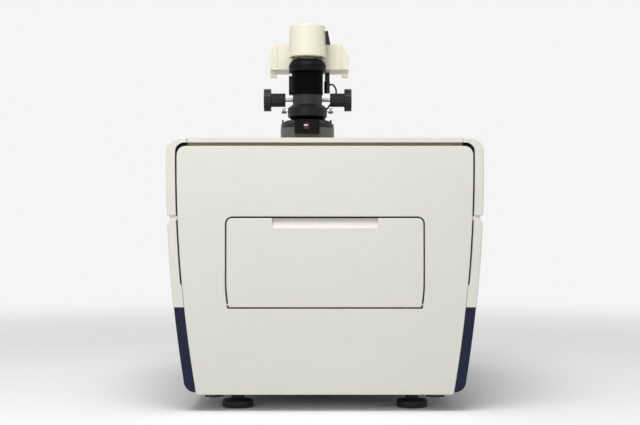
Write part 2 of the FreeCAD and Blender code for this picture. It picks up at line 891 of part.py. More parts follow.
lid_top = box(("-lid_half", "lid_half"), ("front_y", "lid_rear"),
              ("top_level - skin", "top_level"))
lid_front = box(("-lid_half", "lid_half"), ("front_y", "front_y + flange_depth"),
                ("top_level - lid_edge", "top_level"))
lid_sides = [box((low, high), ("front_y", "lid_rear - 20"),
                 ("top_level - lid_edge", "top_level"))
             for low, high in (("-lid_half", "skin - lid_half"), ("lid_half - skin", "lid_half"))]
lid_lugs, lid_bores, hinge_parts = [], [], []
for side in (-1, 1):
    middle = f"({side} * lid_lug_x)"
    left, right = f"{middle} - lid_lug_width / 2", f"{middle} + lid_lug_width / 2"
    lid_lugs.append(box((left, right), ("lid_pin_y - 3.8", "lid_rear"),
                        ("lid_pin_z", "top_level - 1")))
    lid_lugs.append(rod("x", ("lid_pin_y", "lid_pin_z"), "3.8", left, right))
    bore_low, bore_high = f"{left} - 1", f"{right} + 1"
    lid_bores.append(rod("x", ("lid_pin_y", "lid_pin_z"), "lid_pin_radius + run_gap",
                         bore_low, bore_high))
    pin = rod("x", ("lid_pin_y", "lid_pin_z"), "lid_pin_radius",
              f"{left} - lid_bracket_width", f"{right} + lid_bracket_width")
    hinge_ears = []
    for low, high in ((f"{left} - lid_bracket_width", f"{left} - fit_gap"),
                      (f"{right} + fit_gap", f"{right} + lid_bracket_width")):
        hinge_ears.append(box((low, high), ("lid_pin_y - 3.8", "lid_pin_y + 3.8"),
                              ("deck_top", "lid_pin_z")))
        hinge_ears.append(rod("x", ("lid_pin_y", "lid_pin_z"), "3.8", low, high))
    hinge_parts.append(fuse(pin, *hinge_ears))
keep("top_lid", common(cut(fuse(lid_top, lid_front, *lid_sides, *lid_lugs), *lid_bores),
                       case_prism))
keep("lid_hinges", group(*hinge_parts))

def tower_outline(radius):
    """Round in front, stretched to the rear under the pillar, seen from above."""
    return [(f"tower_x - ({radius})", "tower_y", radius, -1),
            (f"tower_x + ({radius})", "tower_y"),
            (f"tower_x + ({radius})", "tower_y + tower_reach", radius, -1),
            (f"tower_x - ({radius})", "tower_y + tower_reach")]


roof = plate("z", "top_level - skin", "top_level",
             rectangle("-lid_half", "lid_half", "roof_front", "rear_roof_end"))
feature(roof, "Pad", "z", "deck_top", "top_level - skin",
        [rectangle("-lid_half", "lid_half", "roof_front", "rear_roof_end"),
         rectangle("skin - lid_half", "lid_half - skin", "roof_front + skin",
                   "rear_y - skin")])
feature(roof, "Pocket", "z", "deck_top", "top_level",
        [rectangle("-lid_half - 1", "lid_half + 1", "rear_y - fit_gap", "rear_roof_end + 1")])
feature(roof, "Pocket", "z", "top_level - skin", "top_level",
        [tower_outline("tower_base_radius + 1.5")])
keep("rear_roof", roof)

# Feet and lifting brackets

for name, x, y in (("front_left", -1, -1), ("front_right", 1, -1),
                   ("rear_left", -1, 1), ("rear_right", 1, 1)):
    keep("foot_" + name, turned(f"{x} * foot_x", f"{y} * foot_y", [
        ("0", "0"), ("foot_radius - 2.5", "0", "2.5", -1), ("foot_radius", "2.5"),
        ("foot_radius", "foot_height - 2"), ("foot_radius - 2", "foot_height"),
        ("foot_collar_radius", "foot_height + 3"), ("foot_collar_radius", "base_low"),
        ("stem_radius", "base_low"), ("stem_radius", "base_top - 1"),
        ("stem_radius - 1", "base_top"), ("0", "base_top")]))


def lift_bracket(side):
    """A strap bent to a shallow U under the front edge of the base."""
    low, strap = "(base_low - bracket_drop)", "bracket_strap"
    left = f"({side} * bracket_x - bracket_width / 2)"
    right = f"({side} * bracket_x + bracket_width / 2)"
    body = plate("y", "rim_y + bracket_inset", "rim_y + bracket_inset + bracket_depth", [
        (left, "base_low"), (left, f"{low} + {strap}"), (f"{left} + {strap}", low),
        (f"{right} - {strap}", low), (right, f"{low} + {strap}"), (right, "base_low"),
        (f"{right} - {strap}", "base_low"), (f"{right} - {strap}", f"{low} + {strap}"),
        (f"{left} + {strap}", f"{low} + {strap}"), (f"{left} + {strap}", "base_low")])
    return body


keep("front_lift_brackets", group(lift_bracket(-1), lift_bracket(1)))

# Rear fittings

fan_y = "rear_y - fan_depth"
fan_box = plate("y", fan_y, "rear_y", rounded(
    "(fan_x - fan_size / 2)", "(fan_x + fan_size / 2)", "(fan_level - fan_size / 2)",
    "(fan_level + fan_size / 2)", "4"), circle("fan_x", "fan_level", "fan_bore"))
fan_struts = [box((f"fan_x - {x}", f"fan_x + {x}"), (fan_y, f"{fan_y} + 3"),
                  (f"fan_level - {z}", f"fan_level + {z}"))
              for x, z in (("fan_bore - 1", "1.5"), ("1.5", "fan_bore - 1"))]
fan_post = rod("y", ("fan_x", "fan_level"), "2", fan_y, f"{fan_y} + 16")
keep("fan_housing", fuse(fan_box, *fan_struts, fan_post))


def fan_blade(turn):
    """One pitched blade of the fan, turned about the fan's axis."""
    blade = scrap("Part::Box", "blade")
    reach = size("fan_bore - fan_hub") - 1
    blade.setExpression("Length", tied("fan_bore - fan_hub - 1"))
    blade.Width, blade.Height = 1.4, 15
    pitch = FreeCAD.Rotation(FreeCAD.Vector(1, 0, 0), 50)
    around = FreeCAD.Rotation(FreeCAD.Vector(0, 1, 0), turn)
    middle = FreeCAD.Vector(size("fan_x"), size(fan_y) + 13, size("fan_level"))
    start = pitch.multVec(FreeCAD.Vector(size("fan_hub") - 1, -0.7, -7.5))
    blade.Placement = FreeCAD.Placement(middle + around.multVec(start), around * pitch)
    return blade


blade_count = int(size("fan_blades"))
fan_hub = cut(rod("y", ("fan_x", "fan_level"), "fan_hub", f"{fan_y} + 5", "rear_y - 3"),
              rod("y", ("fan_x", "fan_level"), "2 + run_gap", f"{fan_y} + 4",
                  f"{fan_y} + 17"))
keep("fan_rotor", fuse(fan_hub, *[fan_blade(360 * number / blade_count)
                                  for number in range(blade_count)]))

inlet = plate("y", "rear_y - 22", "rear_y + rear_thickness + 2", rounded(
    "(inlet_x - inlet_width / 2 + fit_gap)", "(inlet_x + inlet_width / 2 - fit_gap)",
    "(inlet_level - inlet_height / 2 + fit_gap)",
    "(inlet_level + inlet_height / 2 - fit_gap)", "2.7"))
feature(inlet, "Pocket", "y", "rear_y - 14", "rear_y + rear_thickness + 2", [rounded(
    "(socket_x - socket_width / 2)", "(socket_x + socket_width / 2)",
    "(inlet_level - socket_height / 2)", "(inlet_level + socket_height / 2)", "2")])
feature(inlet, "Pocket", "y", "rear_y - 12", "rear_y + rear_thickness + 2", [
    rectangle("rocker_x - 9.7", "rocker_x + 9.7", "inlet_level - 13.7",
              "inlet_level + 13.7")])
blades = [box((f"socket_x + {x} - 1", f"socket_x + {x} + 1"), ("rear_y - 16", "rear_y - 2"),
              (f"inlet_level + {z} - 3", f"inlet_level + {z} + 3"))
          for x, z in ((-7, -1), (0, 1), (7, -1))]
rocker_frame = plate("y", "rear_y - 12", "rear_y + rear_thickness + 1",
                     rectangle("rocker_x - 9.7", "rocker_x + 9.7", "inlet_level - 13.7",
                               "inlet_level + 13.7"),
                     rectangle("rocker_x - 7.5", "rocker_x + 7.5", "inlet_level - 11.5",
                               "inlet_level + 11.5"))
rocker_pin = rod("x", ("rear_y - 5", "inlet_level"), "1.5", "rocker_x - 8", "rocker_x + 8")
keep("power_inlet", fuse(inlet, *blades, rocker_frame, rocker_pin))
rocker = plate("x", "rocker_x - 7.2", "rocker_x + 7.2", [
    ("rear_y - 8", "inlet_level - 4"), ("rear_y + 2", "inlet_level - 10"),
    ("rear_y + 5.2", "inlet_level - 10"), ("rear_y + 2.2", "inlet_level"),
    ("rear_y + 5.2", "inlet_level + 10"), ("rear_y + 2", "inlet_level + 10"),
    ("rear_y - 8", "inlet_level + 4")])
tilted = cut(rocker, rod("x", ("rear_y - 5", "inlet_level"), "1.5 + run_gap",
                         "rocker_x - 8", "rocker_x + 8"))
tilted.Placement = FreeCAD.Placement(
    FreeCAD.Vector(), FreeCAD.Rotation(FreeCAD.Vector(1, 0, 0), size("rocker_tilt")),
    FreeCAD.Vector(0, size("rear_y - 5"), size("inlet_level")))
keep("power_rocker", tilted)

# Sample stage

supports = []
for side in (-1, 1):
    middle = f"({side} * (beam_in + beam_width / 2))"
    leg = plate("x", f"{middle} - leg_thickness / 2", f"{middle} + leg_thickness / 2", [
        ("leg_front - 60", "base_top"), ("leg_rear + 30", "base_top"),
        ("leg_rear + 30", "base_top + 20"), ("leg_rear", "base_top + 60"),
        ("leg_rear", "beam_low"), ("leg_front", "beam_low"),
        ("leg_front", "base_top + 60"), ("leg_front - 60", "base_top + 20")])
    feature(leg, "Pocket", "x", f"{middle} - leg_thickness / 2",
            f"{middle} + leg_thickness / 2",
            [circle(place, "beam_low - 70", "32") for place in ("-90", "50")]
            + [circle("-20", "base_top + 80", "36")])
    beam = box((f"{middle} - beam_width / 2", f"{middle} + beam_width / 2"),
               ("beam_front", "beam_rear"), ("beam_low", "rail_low"))
    supports.append(fuse(leg, beam))
keep("stage_supports", group(*supports))
rails = [box((f"{side} * rail_x - rail_width / 2", f"{side} * rail_x + rail_width / 2"),
             ("beam_front + 6", "beam_rear - 6"), ("rail_low", "rail_low + rail_height"))
         for side in (-1, 1)]
keep("y_rails", group(*rails))

frame = plate("z", "frame_low", "frame_top",
              rounded("-frame_half", "frame_half", "(tower_y - frame_reach)",
                      "(tower_y + frame_reach)", "10"),
              rectangle("tower_x - frame_open_x", "tower_x + frame_open_x",
                        "tower_y - frame_open_y", "tower_y + frame_open_y"))
feature(frame, "Pocket", "z", "frame_low", "rail_low + rail_height + fit_gap",
        [rectangle(f"{side} * rail_x - rail_width / 2 - fit_gap",
                   f"{side} * rail_x + rail_width / 2 + fit_gap",
                   "tower_y - frame_reach - 1", "tower_y + frame_reach + 1")
         for side in (-1, 1)])
keep("y_carriage", frame)
rod_ends = ("tower_x - frame_open_x", "tower_x + frame_open_x")
keep("x_guide_rods", group(*[rod("x", (f"tower_y + {side} * rod_y", "rod_z"), "rod_radius",
                                 *rod_ends) for side in (-1, 1)]))

holder = plate("z", "frame_low + 1", "frame_top", rounded(
    "(tower_x - holder_half)", "(tower_x + holder_half)", "(tower_y - holder_reach)",
    "(tower_y + holder_reach)", "6"),
    rectangle("tower_x - plate_length / 2 + plate_lip", "tower_x + plate_length / 2 - plate_lip",
              "tower_y - plate_width / 2 + plate_lip", "tower_y + plate_width / 2 - plate_lip"))
feature(holder, "Pocket", "z", "frame_low + 1 + plate_floor", "frame_top", [
    rounded("(tower_x - plate_length / 2)", "(tower_x + plate_length / 2)",
            "(tower_y - plate_width / 2)", "(tower_y + plate_width / 2)", "3")])
keep("plate_holder", cut(holder, *[rod("x", (f"tower_y + {side} * rod_y", "rod_z"),
                                       "rod_radius + run_gap", *rod_ends)
                                   for side in (-1, 1)]))

# Focus drive and objectives

column = plate("z", "base_top", "column_top", rectangle(
    "tower_x - focus_plate_half", "tower_x + focus_plate_half",
    "focus_plate_y + focus_plate_thickness + fit_gap",
    "focus_plate_y + focus_plate_thickness + column_depth"))
keep("focus_column", column)
arm_top = "arm_low + arm_height"
turret_y = "tower_y - turret_offset"
focus_plate = box(("tower_x - focus_plate_half", "tower_x + focus_plate_half"),
                  ("focus_plate_y", "focus_plate_y + focus_plate_thickness"),
                  ("arm_low - 30", "arm_low + 60"))
focus_arm = plate("z", "arm_low", arm_top, [
    ("tower_x - 30", f"{turret_y}", "30", -1), ("tower_x + 30", f"{turret_y}"),
    ("tower_x + 30", "focus_plate_y + 1"), ("tower_x - 30", "focus_plate_y + 1")],
    circle("tower_x", "tower_y", "14"))
turret_axle = rod("z", ("tower_x", turret_y), "6", arm_top, "turret_low + turret_height + 2")
keep("focus_carriage", fuse(focus_plate, focus_arm, turret_axle))
objective_count = int(size("objective_count"))
turret = plate("z", "turret_low", "turret_low + turret_height",
               circle("tower_x", turret_y, "turret_radius"),
               circle("tower_x", turret_y, "(6 + run_gap)"),
               *[circle(f"(tower_x + turret_offset * sin({angle}))",
                        f"({turret_y} + turret_offset * cos({angle}))", "11")
                 for angle in (360 * number / objective_count
                               for number in range(objective_count))])
keep("objective_turret", turret)


def objective(number):
    """One objective, standing on its place of the turret."""
    angle = 360 * number / objective_count
    low, high = "turret_low + turret_height", "objective_top"
    shorter = number * 3
    body = turned(f"tower_x + turret_offset * sin({angle})",
                  f"{turret_y} + turret_offset * cos({angle})", [
                      ("11", low), ("objective_radius - 2", low),
                      ("objective_radius", f"{low} + 3"),
                      ("objective_radius", f"{low} + 38"),
                      ("objective_radius - 2.5", f"{low} + 40"),
                      ("objective_radius - 2.5", f"{high} - 18 - {shorter}"),
                      ("objective_nose", f"{high} - 3 - {shorter}"),
                      ("objective_nose", f"{high} - {shorter}"),
                      ("5", f"{high} - {shorter}"), ("5", f"{high} - 6 - {shorter}"),
                      ("11", f"{high} - 20 - {shorter}")])
    return body


keep("objectives", group(*[objective(number) for number in range(objective_count)]))

# Filter wheel, mirror, camera and light source

wheel_x = "(tower_x - wheel_offset)"
wheel_places = int(size("wheel_places"))
keep("filter_wheel_motor", fuse(
    rod("z", (wheel_x, "tower_y"), "21", "base_top", "wheel_low - 4"),
    rod("z", (wheel_x, "tower_y"), "4", "wheel_low - 5", "wheel_low + wheel_height + 3")))
wheel = plate("z", "wheel_low", "wheel_low + wheel_height",
              circle(wheel_x, "tower_y", "wheel_radius"),
              circle(wheel_x, "tower_y", "(4 + run_gap)"),
              *[circle(f"({wheel_x} + wheel_offset * cos({angle}))",
                       f"(tower_y + wheel_offset * sin({angle}))", "wheel_hole")
                for angle in (360 * number / wheel_places for number in range(wheel_places))])
keep("filter_wheel", wheel)
mirror_block = plate("y", "tower_y - 22", "tower_y + 22", [
    ("tower_x - 9", "base_top"), ("tower_x + 24", "base_top"),
    ("tower_x + 24", "path_level - 24"), ("tower_x - 9", "path_level + 9")])
mirror_plate = plate("y", "tower_y - 18", "tower_y + 18", [
    ("tower_x + 21", "path_level - 21"), ("tower_x + 23", "path_level - 19"),
    ("tower_x - 5", "path_level + 9"), ("tower_x - 7", "path_level + 7")])
keep("fold_mirror", group(mirror_block, mirror_plate))
lens_left = "tower_x + tube_lens_near"
lens_right = "tower_x + tube_lens_near + tube_lens_length"
keep("tube_lens", fuse(
    rod("x", ("tower_y", "path_level"), "tube_lens_radius", lens_left, lens_right),
    box((f"{lens_left} + tube_lens_length / 5", f"{lens_right} - tube_lens_length / 5"),
        ("tower_y - tube_lens_radius * 0.8", "tower_y + tube_lens_radius * 0.8"),
        ("base_top", "path_level"))))
camera = plate("x", lens_right, f"{lens_right} + camera_length", rounded(
    "(tower_y - camera_half)", "(tower_y + camera_half)", "(base_top)",
    "(path_level + camera_rise)", "5"))
keep("camera", camera)
boxes_rear = "(rear_y - boxes_inset)"
keep("light_engine", plate("z", "base_top", "base_top + engine_height", rounded(
    "(engine_x - engine_half)", "(engine_x + engine_half)", "engine_front", boxes_rear, "6")))
electronics = plate("z", "base_top", "base_top + power_height", rounded(
    "(power_x - power_half)", "(power_x + power_half)", "power_front", boxes_rear, "4"))
first_slot = "(power_x - (fin_count - 1) / 2 * fin_pitch - fin_slot / 2)"
slot_pocket = feature(
    electronics, "Pocket", "z", "base_top + power_height - fin_depth", "base_top + power_height",
    [rectangle(first_slot, f"{first_slot} + fin_slot", "power_front + 10", f"{boxes_rear} - 10")])
fins = electronics.newObject("PartDesign::LinearPattern", "fins")
fins.Originals = [slot_pocket]
fins.Direction = (slot_pocket.Profile[0], ["H_Axis"])
fins.setExpression("Length", tied("(fin_count - 1) * fin_pitch"))
fins.setExpression("Occurrences", tied("fin_count"))
electronics.Tip = fins
keep("electronics_box", electronics)

# Transmitted-light stand

tower_base = plate("z", "deck_top", "tower_base_top", tower_outline("tower_base_radius"),
                   circle("tower_x", "tower_y", "tower_bore"))
keep("tower_base", tower_base)
clamp = turned("tower_x", "tower_y", [
    ("tower_bore", "tower_base_top"), ("clamp_radius", "tower_base_top"),
    ("clamp_radius", "clamp_top - clamp_bevel"), ("clamp_radius - 10", "clamp_top"),
    ("tower_bore", "clamp_top")])
clamp_pins = [rod("z", (f"tower_x + {x}", f"tower_y + {y}"), "2", "tower_base_top + 4",
                  "clamp_top + 1.5") for x, y in ((-54, -14), (52, -14))]
keep("tower_clamp_ring", fuse(clamp, *clamp_pins))

block = plate("z", "tower_base_top - 15", "block_top", [
    ("tower_x - block_half", "tower_y - block_reach"),
    ("tower_x + block_half", "tower_y - block_reach"),
    ("tower_x + block_half", "tower_y"), ("tower_x - block_half", "tower_y")])
block_seat = rod("z", ("tower_x", "tower_y"), "tower_base_radius + fit_gap / 2",
                 "deck_top", "clamp_top + 2")
index_block = cut(block, block_seat)
keep("index_block", index_block)

pillar = plate("z", "tower_base_top", "head_low", rounded(
    "(tower_x - pillar_half)", "(tower_x + pillar_half)", "(tower_y + pillar_y)",
    "(tower_y + pillar_y + pillar_depth)", "6"))
rack_slot = box(("tower_x - 10.3", "tower_x + 10.3"),
                ("tower_y + pillar_y - 1", "tower_y + knob_y + pinion_radius + 4"),
                ("ring_low + 2", "knob_level + 50"))
shaft_bore = rod("x", ("tower_y + knob_y", "knob_level"), "shaft_radius + run_gap",
                 "tower_x - pillar_half - 1", "tower_x + pillar_half + 1")
side_boss = plate("x", "tower_x - boss_reach", "tower_x - pillar_half + 1", [
    ("tower_y + pillar_y + 8", "boss_low"), ("tower_y + pillar_y + 30", "boss_low"),
    ("tower_y + pillar_y + 34", "boss_low + 6"), ("tower_y + pillar_y + 34", "collector_low"),
    ("tower_y + pillar_y + 4", "collector_low"), ("tower_y + pillar_y + 4", "boss_low + 6")])
keep("pillar", cut(fuse(pillar, side_boss), rack_slot, shaft_bore))

head_left = "tower_x + head_shift - head_half"
head_right = "tower_x + head_shift + head_half"
head = plate("y", "tower_y + head_front", "tower_y + head_rear", [
    (head_left, "head_low"), (head_right, "head_low"),
    (head_right, "head_top - head_slope_right"),
    (f"{head_right} - head_shoulder_right", "head_top"),
    (f"{head_left} + head_shoulder_left", "head_top"),
    (head_left, "head_top - head_slope_left")])
for cap_edge in (f"{head_left} + head_cap", f"{head_right} - head_cap - fine_seam * 2"):
    for low, high, back in (("tower_y + head_front", "tower_y + head_front + 1", "head_top"),
                            ("tower_y + head_rear - 1", "tower_y + head_rear", "head_top")):
        feature(head, "Pocket", "y", low, high, [
            rectangle(cap_edge, f"{cap_edge} + fine_seam * 2", "head_low - 1", f"{back} + 1")])
lamp_seat = rod("z", ("tower_x", "tower_y"), "lamp_radius + fit_gap", "head_low - 5",
                "head_top + 5")
tabs = [box((f"{left}", f"{left} + 14"), ("tower_y + head_front + 10", "tower_y + head_front + 24"),
            ("head_low - 16", "head_low")) for left in (head_left, f"{head_right} - 16")]
keep("arm_head", cut(fuse(head, *tabs), lamp_seat))

lamp_shell = turned("tower_x", "tower_y", [
    ("14", "lamp_low"), ("lamp_radius - lamp_round", "lamp_low", "lamp_round", -1),
    ("lamp_radius", "lamp_low + lamp_round"),
    ("lamp_radius - lamp_taper", "lamp_top - lamp_round", "lamp_round", -1),
    ("lamp_radius - lamp_taper - lamp_round", "lamp_top"), ("0", "lamp_top"),
    ("0", "lamp_top - 4"), ("lamp_radius - lamp_taper - 4", "lamp_top - 4"),
    ("lamp_radius - 4", "lamp_low + 4"), ("14", "lamp_low + 4")])
lever_ears = []
for side in (-1, 1):
    ends = sorted((f"tower_y + {side} * (lever_width / 2 + fit_gap)",
                   f"tower_y + {side} * (lever_width / 2 + 2.5)"), key=size)
    lever_ears.append(box(("tower_x + lamp_radius - lamp_taper - 4", "lever_pin_x"), ends,
                          ("lever_pin_z - lever_eye", "lever_pin_z + lever_eye")))
    lever_ears.append(rod("y", ("lever_pin_x", "lever_pin_z"), "lever_eye", *ends))
lever_pin = rod("y", ("lever_pin_x", "lever_pin_z"), "lever_pin_radius",
                "tower_y - lever_width / 2 - 1", "tower_y + lever_width / 2 + 1")
keep("lamp_housing", fuse(lamp_shell, lever_pin, *lever_ears))
keep("collector_ring", turned("tower_x", "tower_y", [
    ("inner_tube_radius + 1", "collector_low"), ("collector_radius", "collector_low"),
    ("collector_radius", "collector_shoulder", "18", -1),
    ("collector_neck", "collector_top"), ("14", "collector_top"), ("14", "lamp_low"),
    ("10", "lamp_low"), ("10", "collector_top - 5"),
    ("inner_tube_radius + 1", "collector_shoulder")]))
keep("light_tube", turned("tower_x", "tower_y", [
    ("inner_tube_radius + run_gap", "light_tube_low"),
    ("light_tube_radius - 1", "light_tube_low"),
    ("light_tube_radius", "light_tube_low + 1"), ("light_tube_radius", "collector_low"),
    ("inner_tube_radius + run_gap", "collector_low")]))
keep("condenser_tube", turned("tower_x", "tower_y", [
    ("inner_tube_radius - 2.5", "ring_top"), ("inner_tube_radius", "ring_top"),
    ("inner_tube_radius", "inner_tube_top"), ("inner_tube_radius - 2.5", "inner_tube_top")]))
condenser_ring = turned("tower_x", "tower_y", [
    ("nose_radius - 3", "nose_low"), ("nose_radius", "nose_low + 3"),
    ("nose_radius", "ring_low - 60"), ("barrel_radius", "ring_low - 52"),
    ("barrel_radius", "ring_low"), ("ring_radius - ring_bevel - 1.5", "ring_low"),
    ("ring_radius", "ring_low + ring_bevel"), ("ring_radius", "ring_top - ring_bevel"),
    ("ring_radius - ring_bevel - 1.5", "ring_top"), ("barrel_radius - 3", "ring_top"),
    ("barrel_radius - 3", "ring_low - 48"), ("nose_radius - 4", "ring_low - 56"),
    ("nose_radius - 4", "nose_low + 4")])
thumb_bores = [rod("x", ("tower_y", "thumb_level"), "thumb_stem_radius + run_gap",
                   f"tower_x + {low}", f"tower_x + {high}")
               for low, high in (("thumb_root", "ring_radius + 1"),
                                 ("(0 - ring_radius - 1)", "(0 - thumb_root)"))]
keep("condenser_ring", cut(condenser_ring, *thumb_bores))
keep("condenser_lens", turned("tower_x", "tower_y", [
    ("0", "nose_low + 5"), ("nose_radius - 4", "nose_low + 5"),
    ("nose_radius - 4", "nose_low + 10"), ("0", "nose_low + 16")]))

# Condenser focus: rack on the slide, pinion on the knob shaft

def tooth_profile(pitch):
    """Half widths of a tooth at root, pitch line and tip, as shares of the pitch."""
    return 0.34 * pitch, 0.24 * pitch, 0.13 * pitch


gear_module = size("gear_module")
pitch = math.pi * gear_module
pinion_radius = size("pinion_radius")
shaft_y, shaft_z = size("tower_y + knob_y"), size("knob_level")
root, middle, tip = tooth_profile(pitch)


def pinion_shape():
    """A pinion with straight-flanked teeth; a gap faces the rack."""
    teeth = int(size("pinion_teeth"))
    corners = []
    for number in range(teeth):
        centre = 2 * math.pi * (number + 0.5) / teeth
        for width, radius in ((-root, -1.25), (-tip, 0.9), (tip, 0.9), (root, -1.25)):
            reach = pinion_radius + radius * gear_module
            angle = centre + width / (pinion_radius + radius * gear_module * 0.5)
            corners.append(FreeCAD.Vector(-9, shaft_y - reach * math.cos(angle),
                                          shaft_z + reach * math.sin(angle)))
    face = Part.Face(Part.makePolygon(corners + corners[:1]))
    return face.extrude(FreeCAD.Vector(18, 0, 0))


def rack_shape():
    """The slide's toothed strip; a tooth stands at the shaft's level."""
    pitch_y = shaft_y - pinion_radius
    back = size("tower_y + pillar_y") - 4
    low, high = size("ring_low") + 6, size("knob_level") + 16
    first, last = math.ceil((low + 2 - shaft_z) / pitch), math.floor((high - 2 - shaft_z) / pitch)
    corners = [FreeCAD.Vector(-9, back, low), FreeCAD.Vector(-9, pitch_y - 1.25, low)]
    for number in range(first, last + 1):
        centre = shaft_z + number * pitch
        for offset, reach in ((-root, -1.25), (-tip, 0.9), (tip, 0.9), (root, -1.25)):
            corners.append(FreeCAD.Vector(-9, pitch_y + reach * gear_module, centre + offset))
    corners += [FreeCAD.Vector(-9, pitch_y - 1.25, high), FreeCAD.Vector(-9, back, high)]
    face = Part.Face(Part.makePolygon(corners + corners[:1]))
    return face.extrude(FreeCAD.Vector(18, 0, 0))


def made_from(shape):
    """A shape of the script's own, in the tower's X."""
    piece = scrap("Part::Feature", "shape")
    piece.Shape = shape
    piece.setExpression("Placement.Base.x", tied("tower_x"))
    return piece


slide_plate = box(("tower_x - 18", "tower_x + 18"),
                  ("tower_y + pillar_y - 12", "tower_y + pillar_y - fit_gap"),
                  ("ring_low + 6", "knob_level + 16"))
slide_arm = box(("tower_x - 14", "tower_x + 14"),
                ("tower_y + ring_radius - 4", "tower_y + pillar_y - 11"),
                ("ring_low + ring_bevel + 1", "ring_top - ring_bevel - 1"))
arm_seat = rod("z", ("tower_x", "tower_y"), "ring_radius + 0.05", "ring_low - 5",
               "ring_top + 5")
keep("condenser_slide", fuse(slide_plate, cut(slide_arm, arm_seat),
                             made_from(rack_shape())))

shaft = rod("x", ("tower_y + knob_y", "knob_level"), "shaft_radius",
            "tower_x - knob_inner", "tower_x + knob_inner")
keep("focus_shaft", fuse(shaft, made_from(pinion_shape())))
knobs = []
for side in (-1, 1):
    spans = {"barrel": ("grip_barrel_inner", "knob_inner"),
             "wheel": ("knob_inner", "knob_inner + knob_thickness")}
    parts = []
    for which, radius in (("barrel", "grip_barrel_radius"), ("wheel", "knob_radius")):
        low, high = spans[which]
        ends = (f"tower_x + {low}", f"tower_x + {high}")
        if side < 0:
            ends = (f"tower_x - ({high})", f"tower_x - ({low})")
        parts.append(fluted(("tower_y + knob_y", "knob_level"), radius, *ends, "flute_count",
                            "flute_radius"))
    knobs.append(cut(fuse(*parts), rod("x", ("tower_y + knob_y", "knob_level"),
                                       "shaft_radius", "tower_x - knob_inner",
                                       "tower_x + knob_inner")))
keep("focus_knobs", group(*knobs))

for name, side in (("left", -1), ("right", 1)):
    spans = [("thumb_root + fit_gap", "thumb_inner", "thumb_stem_radius"),
             ("thumb_inner", "thumb_outer", "thumb_radius")]
    parts = []
    for low, high, radius in spans:
        ends = (f"tower_x + {low}", f"tower_x + {high}")
        if side < 0:
            ends = (f"tower_x - ({high})", f"tower_x - ({low})")
        parts.append(rod("x", ("tower_y", "thumb_level"), radius, *ends))
    keep("thumb_screw_" + name, fuse(*parts))

lever_axis = ("lever_pin_x", "lever_pin_z")
lever_span = ("tower_y - lever_width / 2", "tower_y + lever_width / 2")
lever = plate("y", *lever_span, [
    ("tower_x + lamp_radius - lamp_taper / 2 + 0.4", "lever_level"),
    ("tower_x + lamp_radius + lever_reach", "lever_level"),
    ("lever_pin_x + lever_eye", "lever_pin_z", "lever_eye", -1),
    ("lever_pin_x - lever_eye", "lever_pin_z")])
keep("lamp_lever", cut(lever, rod("y", lever_axis, "lever_pin_radius + run_gap",
                                  f"{lever_span[0]} - 1", f"{lever_span[1]} + 1")))

# Lamp lead: connector on the pillar, elbow plug and the lead down to the base

plug_top = "plug_level + plug_length / 4"
connector = box(("tower_x + plug_x - socket_half * 0.6", "tower_x + plug_x + socket_half * 0.75"),
                ("tower_y + plug_y - socket_half", "tower_y + plug_y + socket_half"),
                (plug_top, "head_low"))
elbow = fuse(rod("z", ("tower_x + plug_x", "tower_y + plug_y"), "plug_radius",
                 "plug_level - plug_length * 3 / 4", plug_top),
             rod("x", ("tower_y + plug_y", "plug_level"), "lead_radius * 1.8",
                 "tower_x + plug_x", "tower_x + plug_x + plug_radius + 0.5"))

LEAD_ROUTE = [(51, 84, 682), (57, 84, 682), (62, 85.5, 677.5), (65.3, 88.2, 669.5),
              (65, 92, 657.5), (58.5, 95, 645.5), (49.5, 97, 635), (42, 98, 623.5),
              (38.5, 98, 610.5), (38, 97, 597), (38, 97, 582)]


def lead_shape(route, radius):
    """A round lead along straight runs with tangent arcs between them."""
    points = [FreeCAD.Vector(*point) for point in route]
    edges, place = [], points[0]
    for before, corner, after in zip(points, points[1:], points[2:]):
        back, ahead = (before - corner), (after - corner)
        run = 0.45 * min(back.Length, ahead.Length)
        back.normalize()
        ahead.normalize()
        start, end = corner + back * run, corner + ahead * run
        half = back.getAngle(ahead) / 2
        bend = run * math.tan(half)
        print(f"lead bend radius {bend:.1f}")
        towards = (back + ahead).normalize()
        middle = corner + towards * (bend / math.sin(half) - bend)
        edges += [Part.LineSegment(place, start).toShape(), Part.Arc(start, middle, end).toShape()]
        place = end
    edges.append(Part.LineSegment(place, points[-1]).toShape())
    wire = Part.Wire(edges)
    ring = Part.Wire(Part.makeCircle(radius, points[0], points[1] - points[0]))
    tube = wire.makePipeShell([ring], True, True, 1)
    print(f"lead length {wire.Length:.1f}, volume share "
          f"{tube.Volume / (math.pi * radius ** 2 * wire.Length):.4f}")
    return tube


lead = scrap("Part::Feature", "lead")
lead.Shape = lead_shape(LEAD_ROUTE, size("lead_radius"))
lead.setExpression("Placement.Base.x", tied("tower_x"))
lead.setExpression("Placement.Base.y", tied("tower_y"))
keep("lamp_lead", lead)
gland_x, gland_y, gland_z = LEAD_ROUTE[-1]
gland = rod("z", (f"tower_x + {gland_x}", f"tower_y + {gland_y}"), "5",
            "tower_base_top", f"{gland_z}", "3.5")
keep("lead_fittings", group(connector, elbow, gland))

# Checks and files

doc.recompute()
faults = [piece.Name for piece in doc.Objects
          if "Invalid" in piece.State or "Error" in piece.State]
for piece in subparts:
    shape = piece.Shape
    if shape.isNull() or not shape.isValid() or not shape.Solids:
        faults.append(piece.Label)
if faults:
    raise SystemExit("failed: " + ", ".join(faults))
os.makedirs("parts", exist_ok=True)
for piece in subparts:
    piece.Shape.exportStep(f"parts/{piece.Label}.step")
print(len(subparts), "sub-parts written")
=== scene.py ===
# %% [markdown]
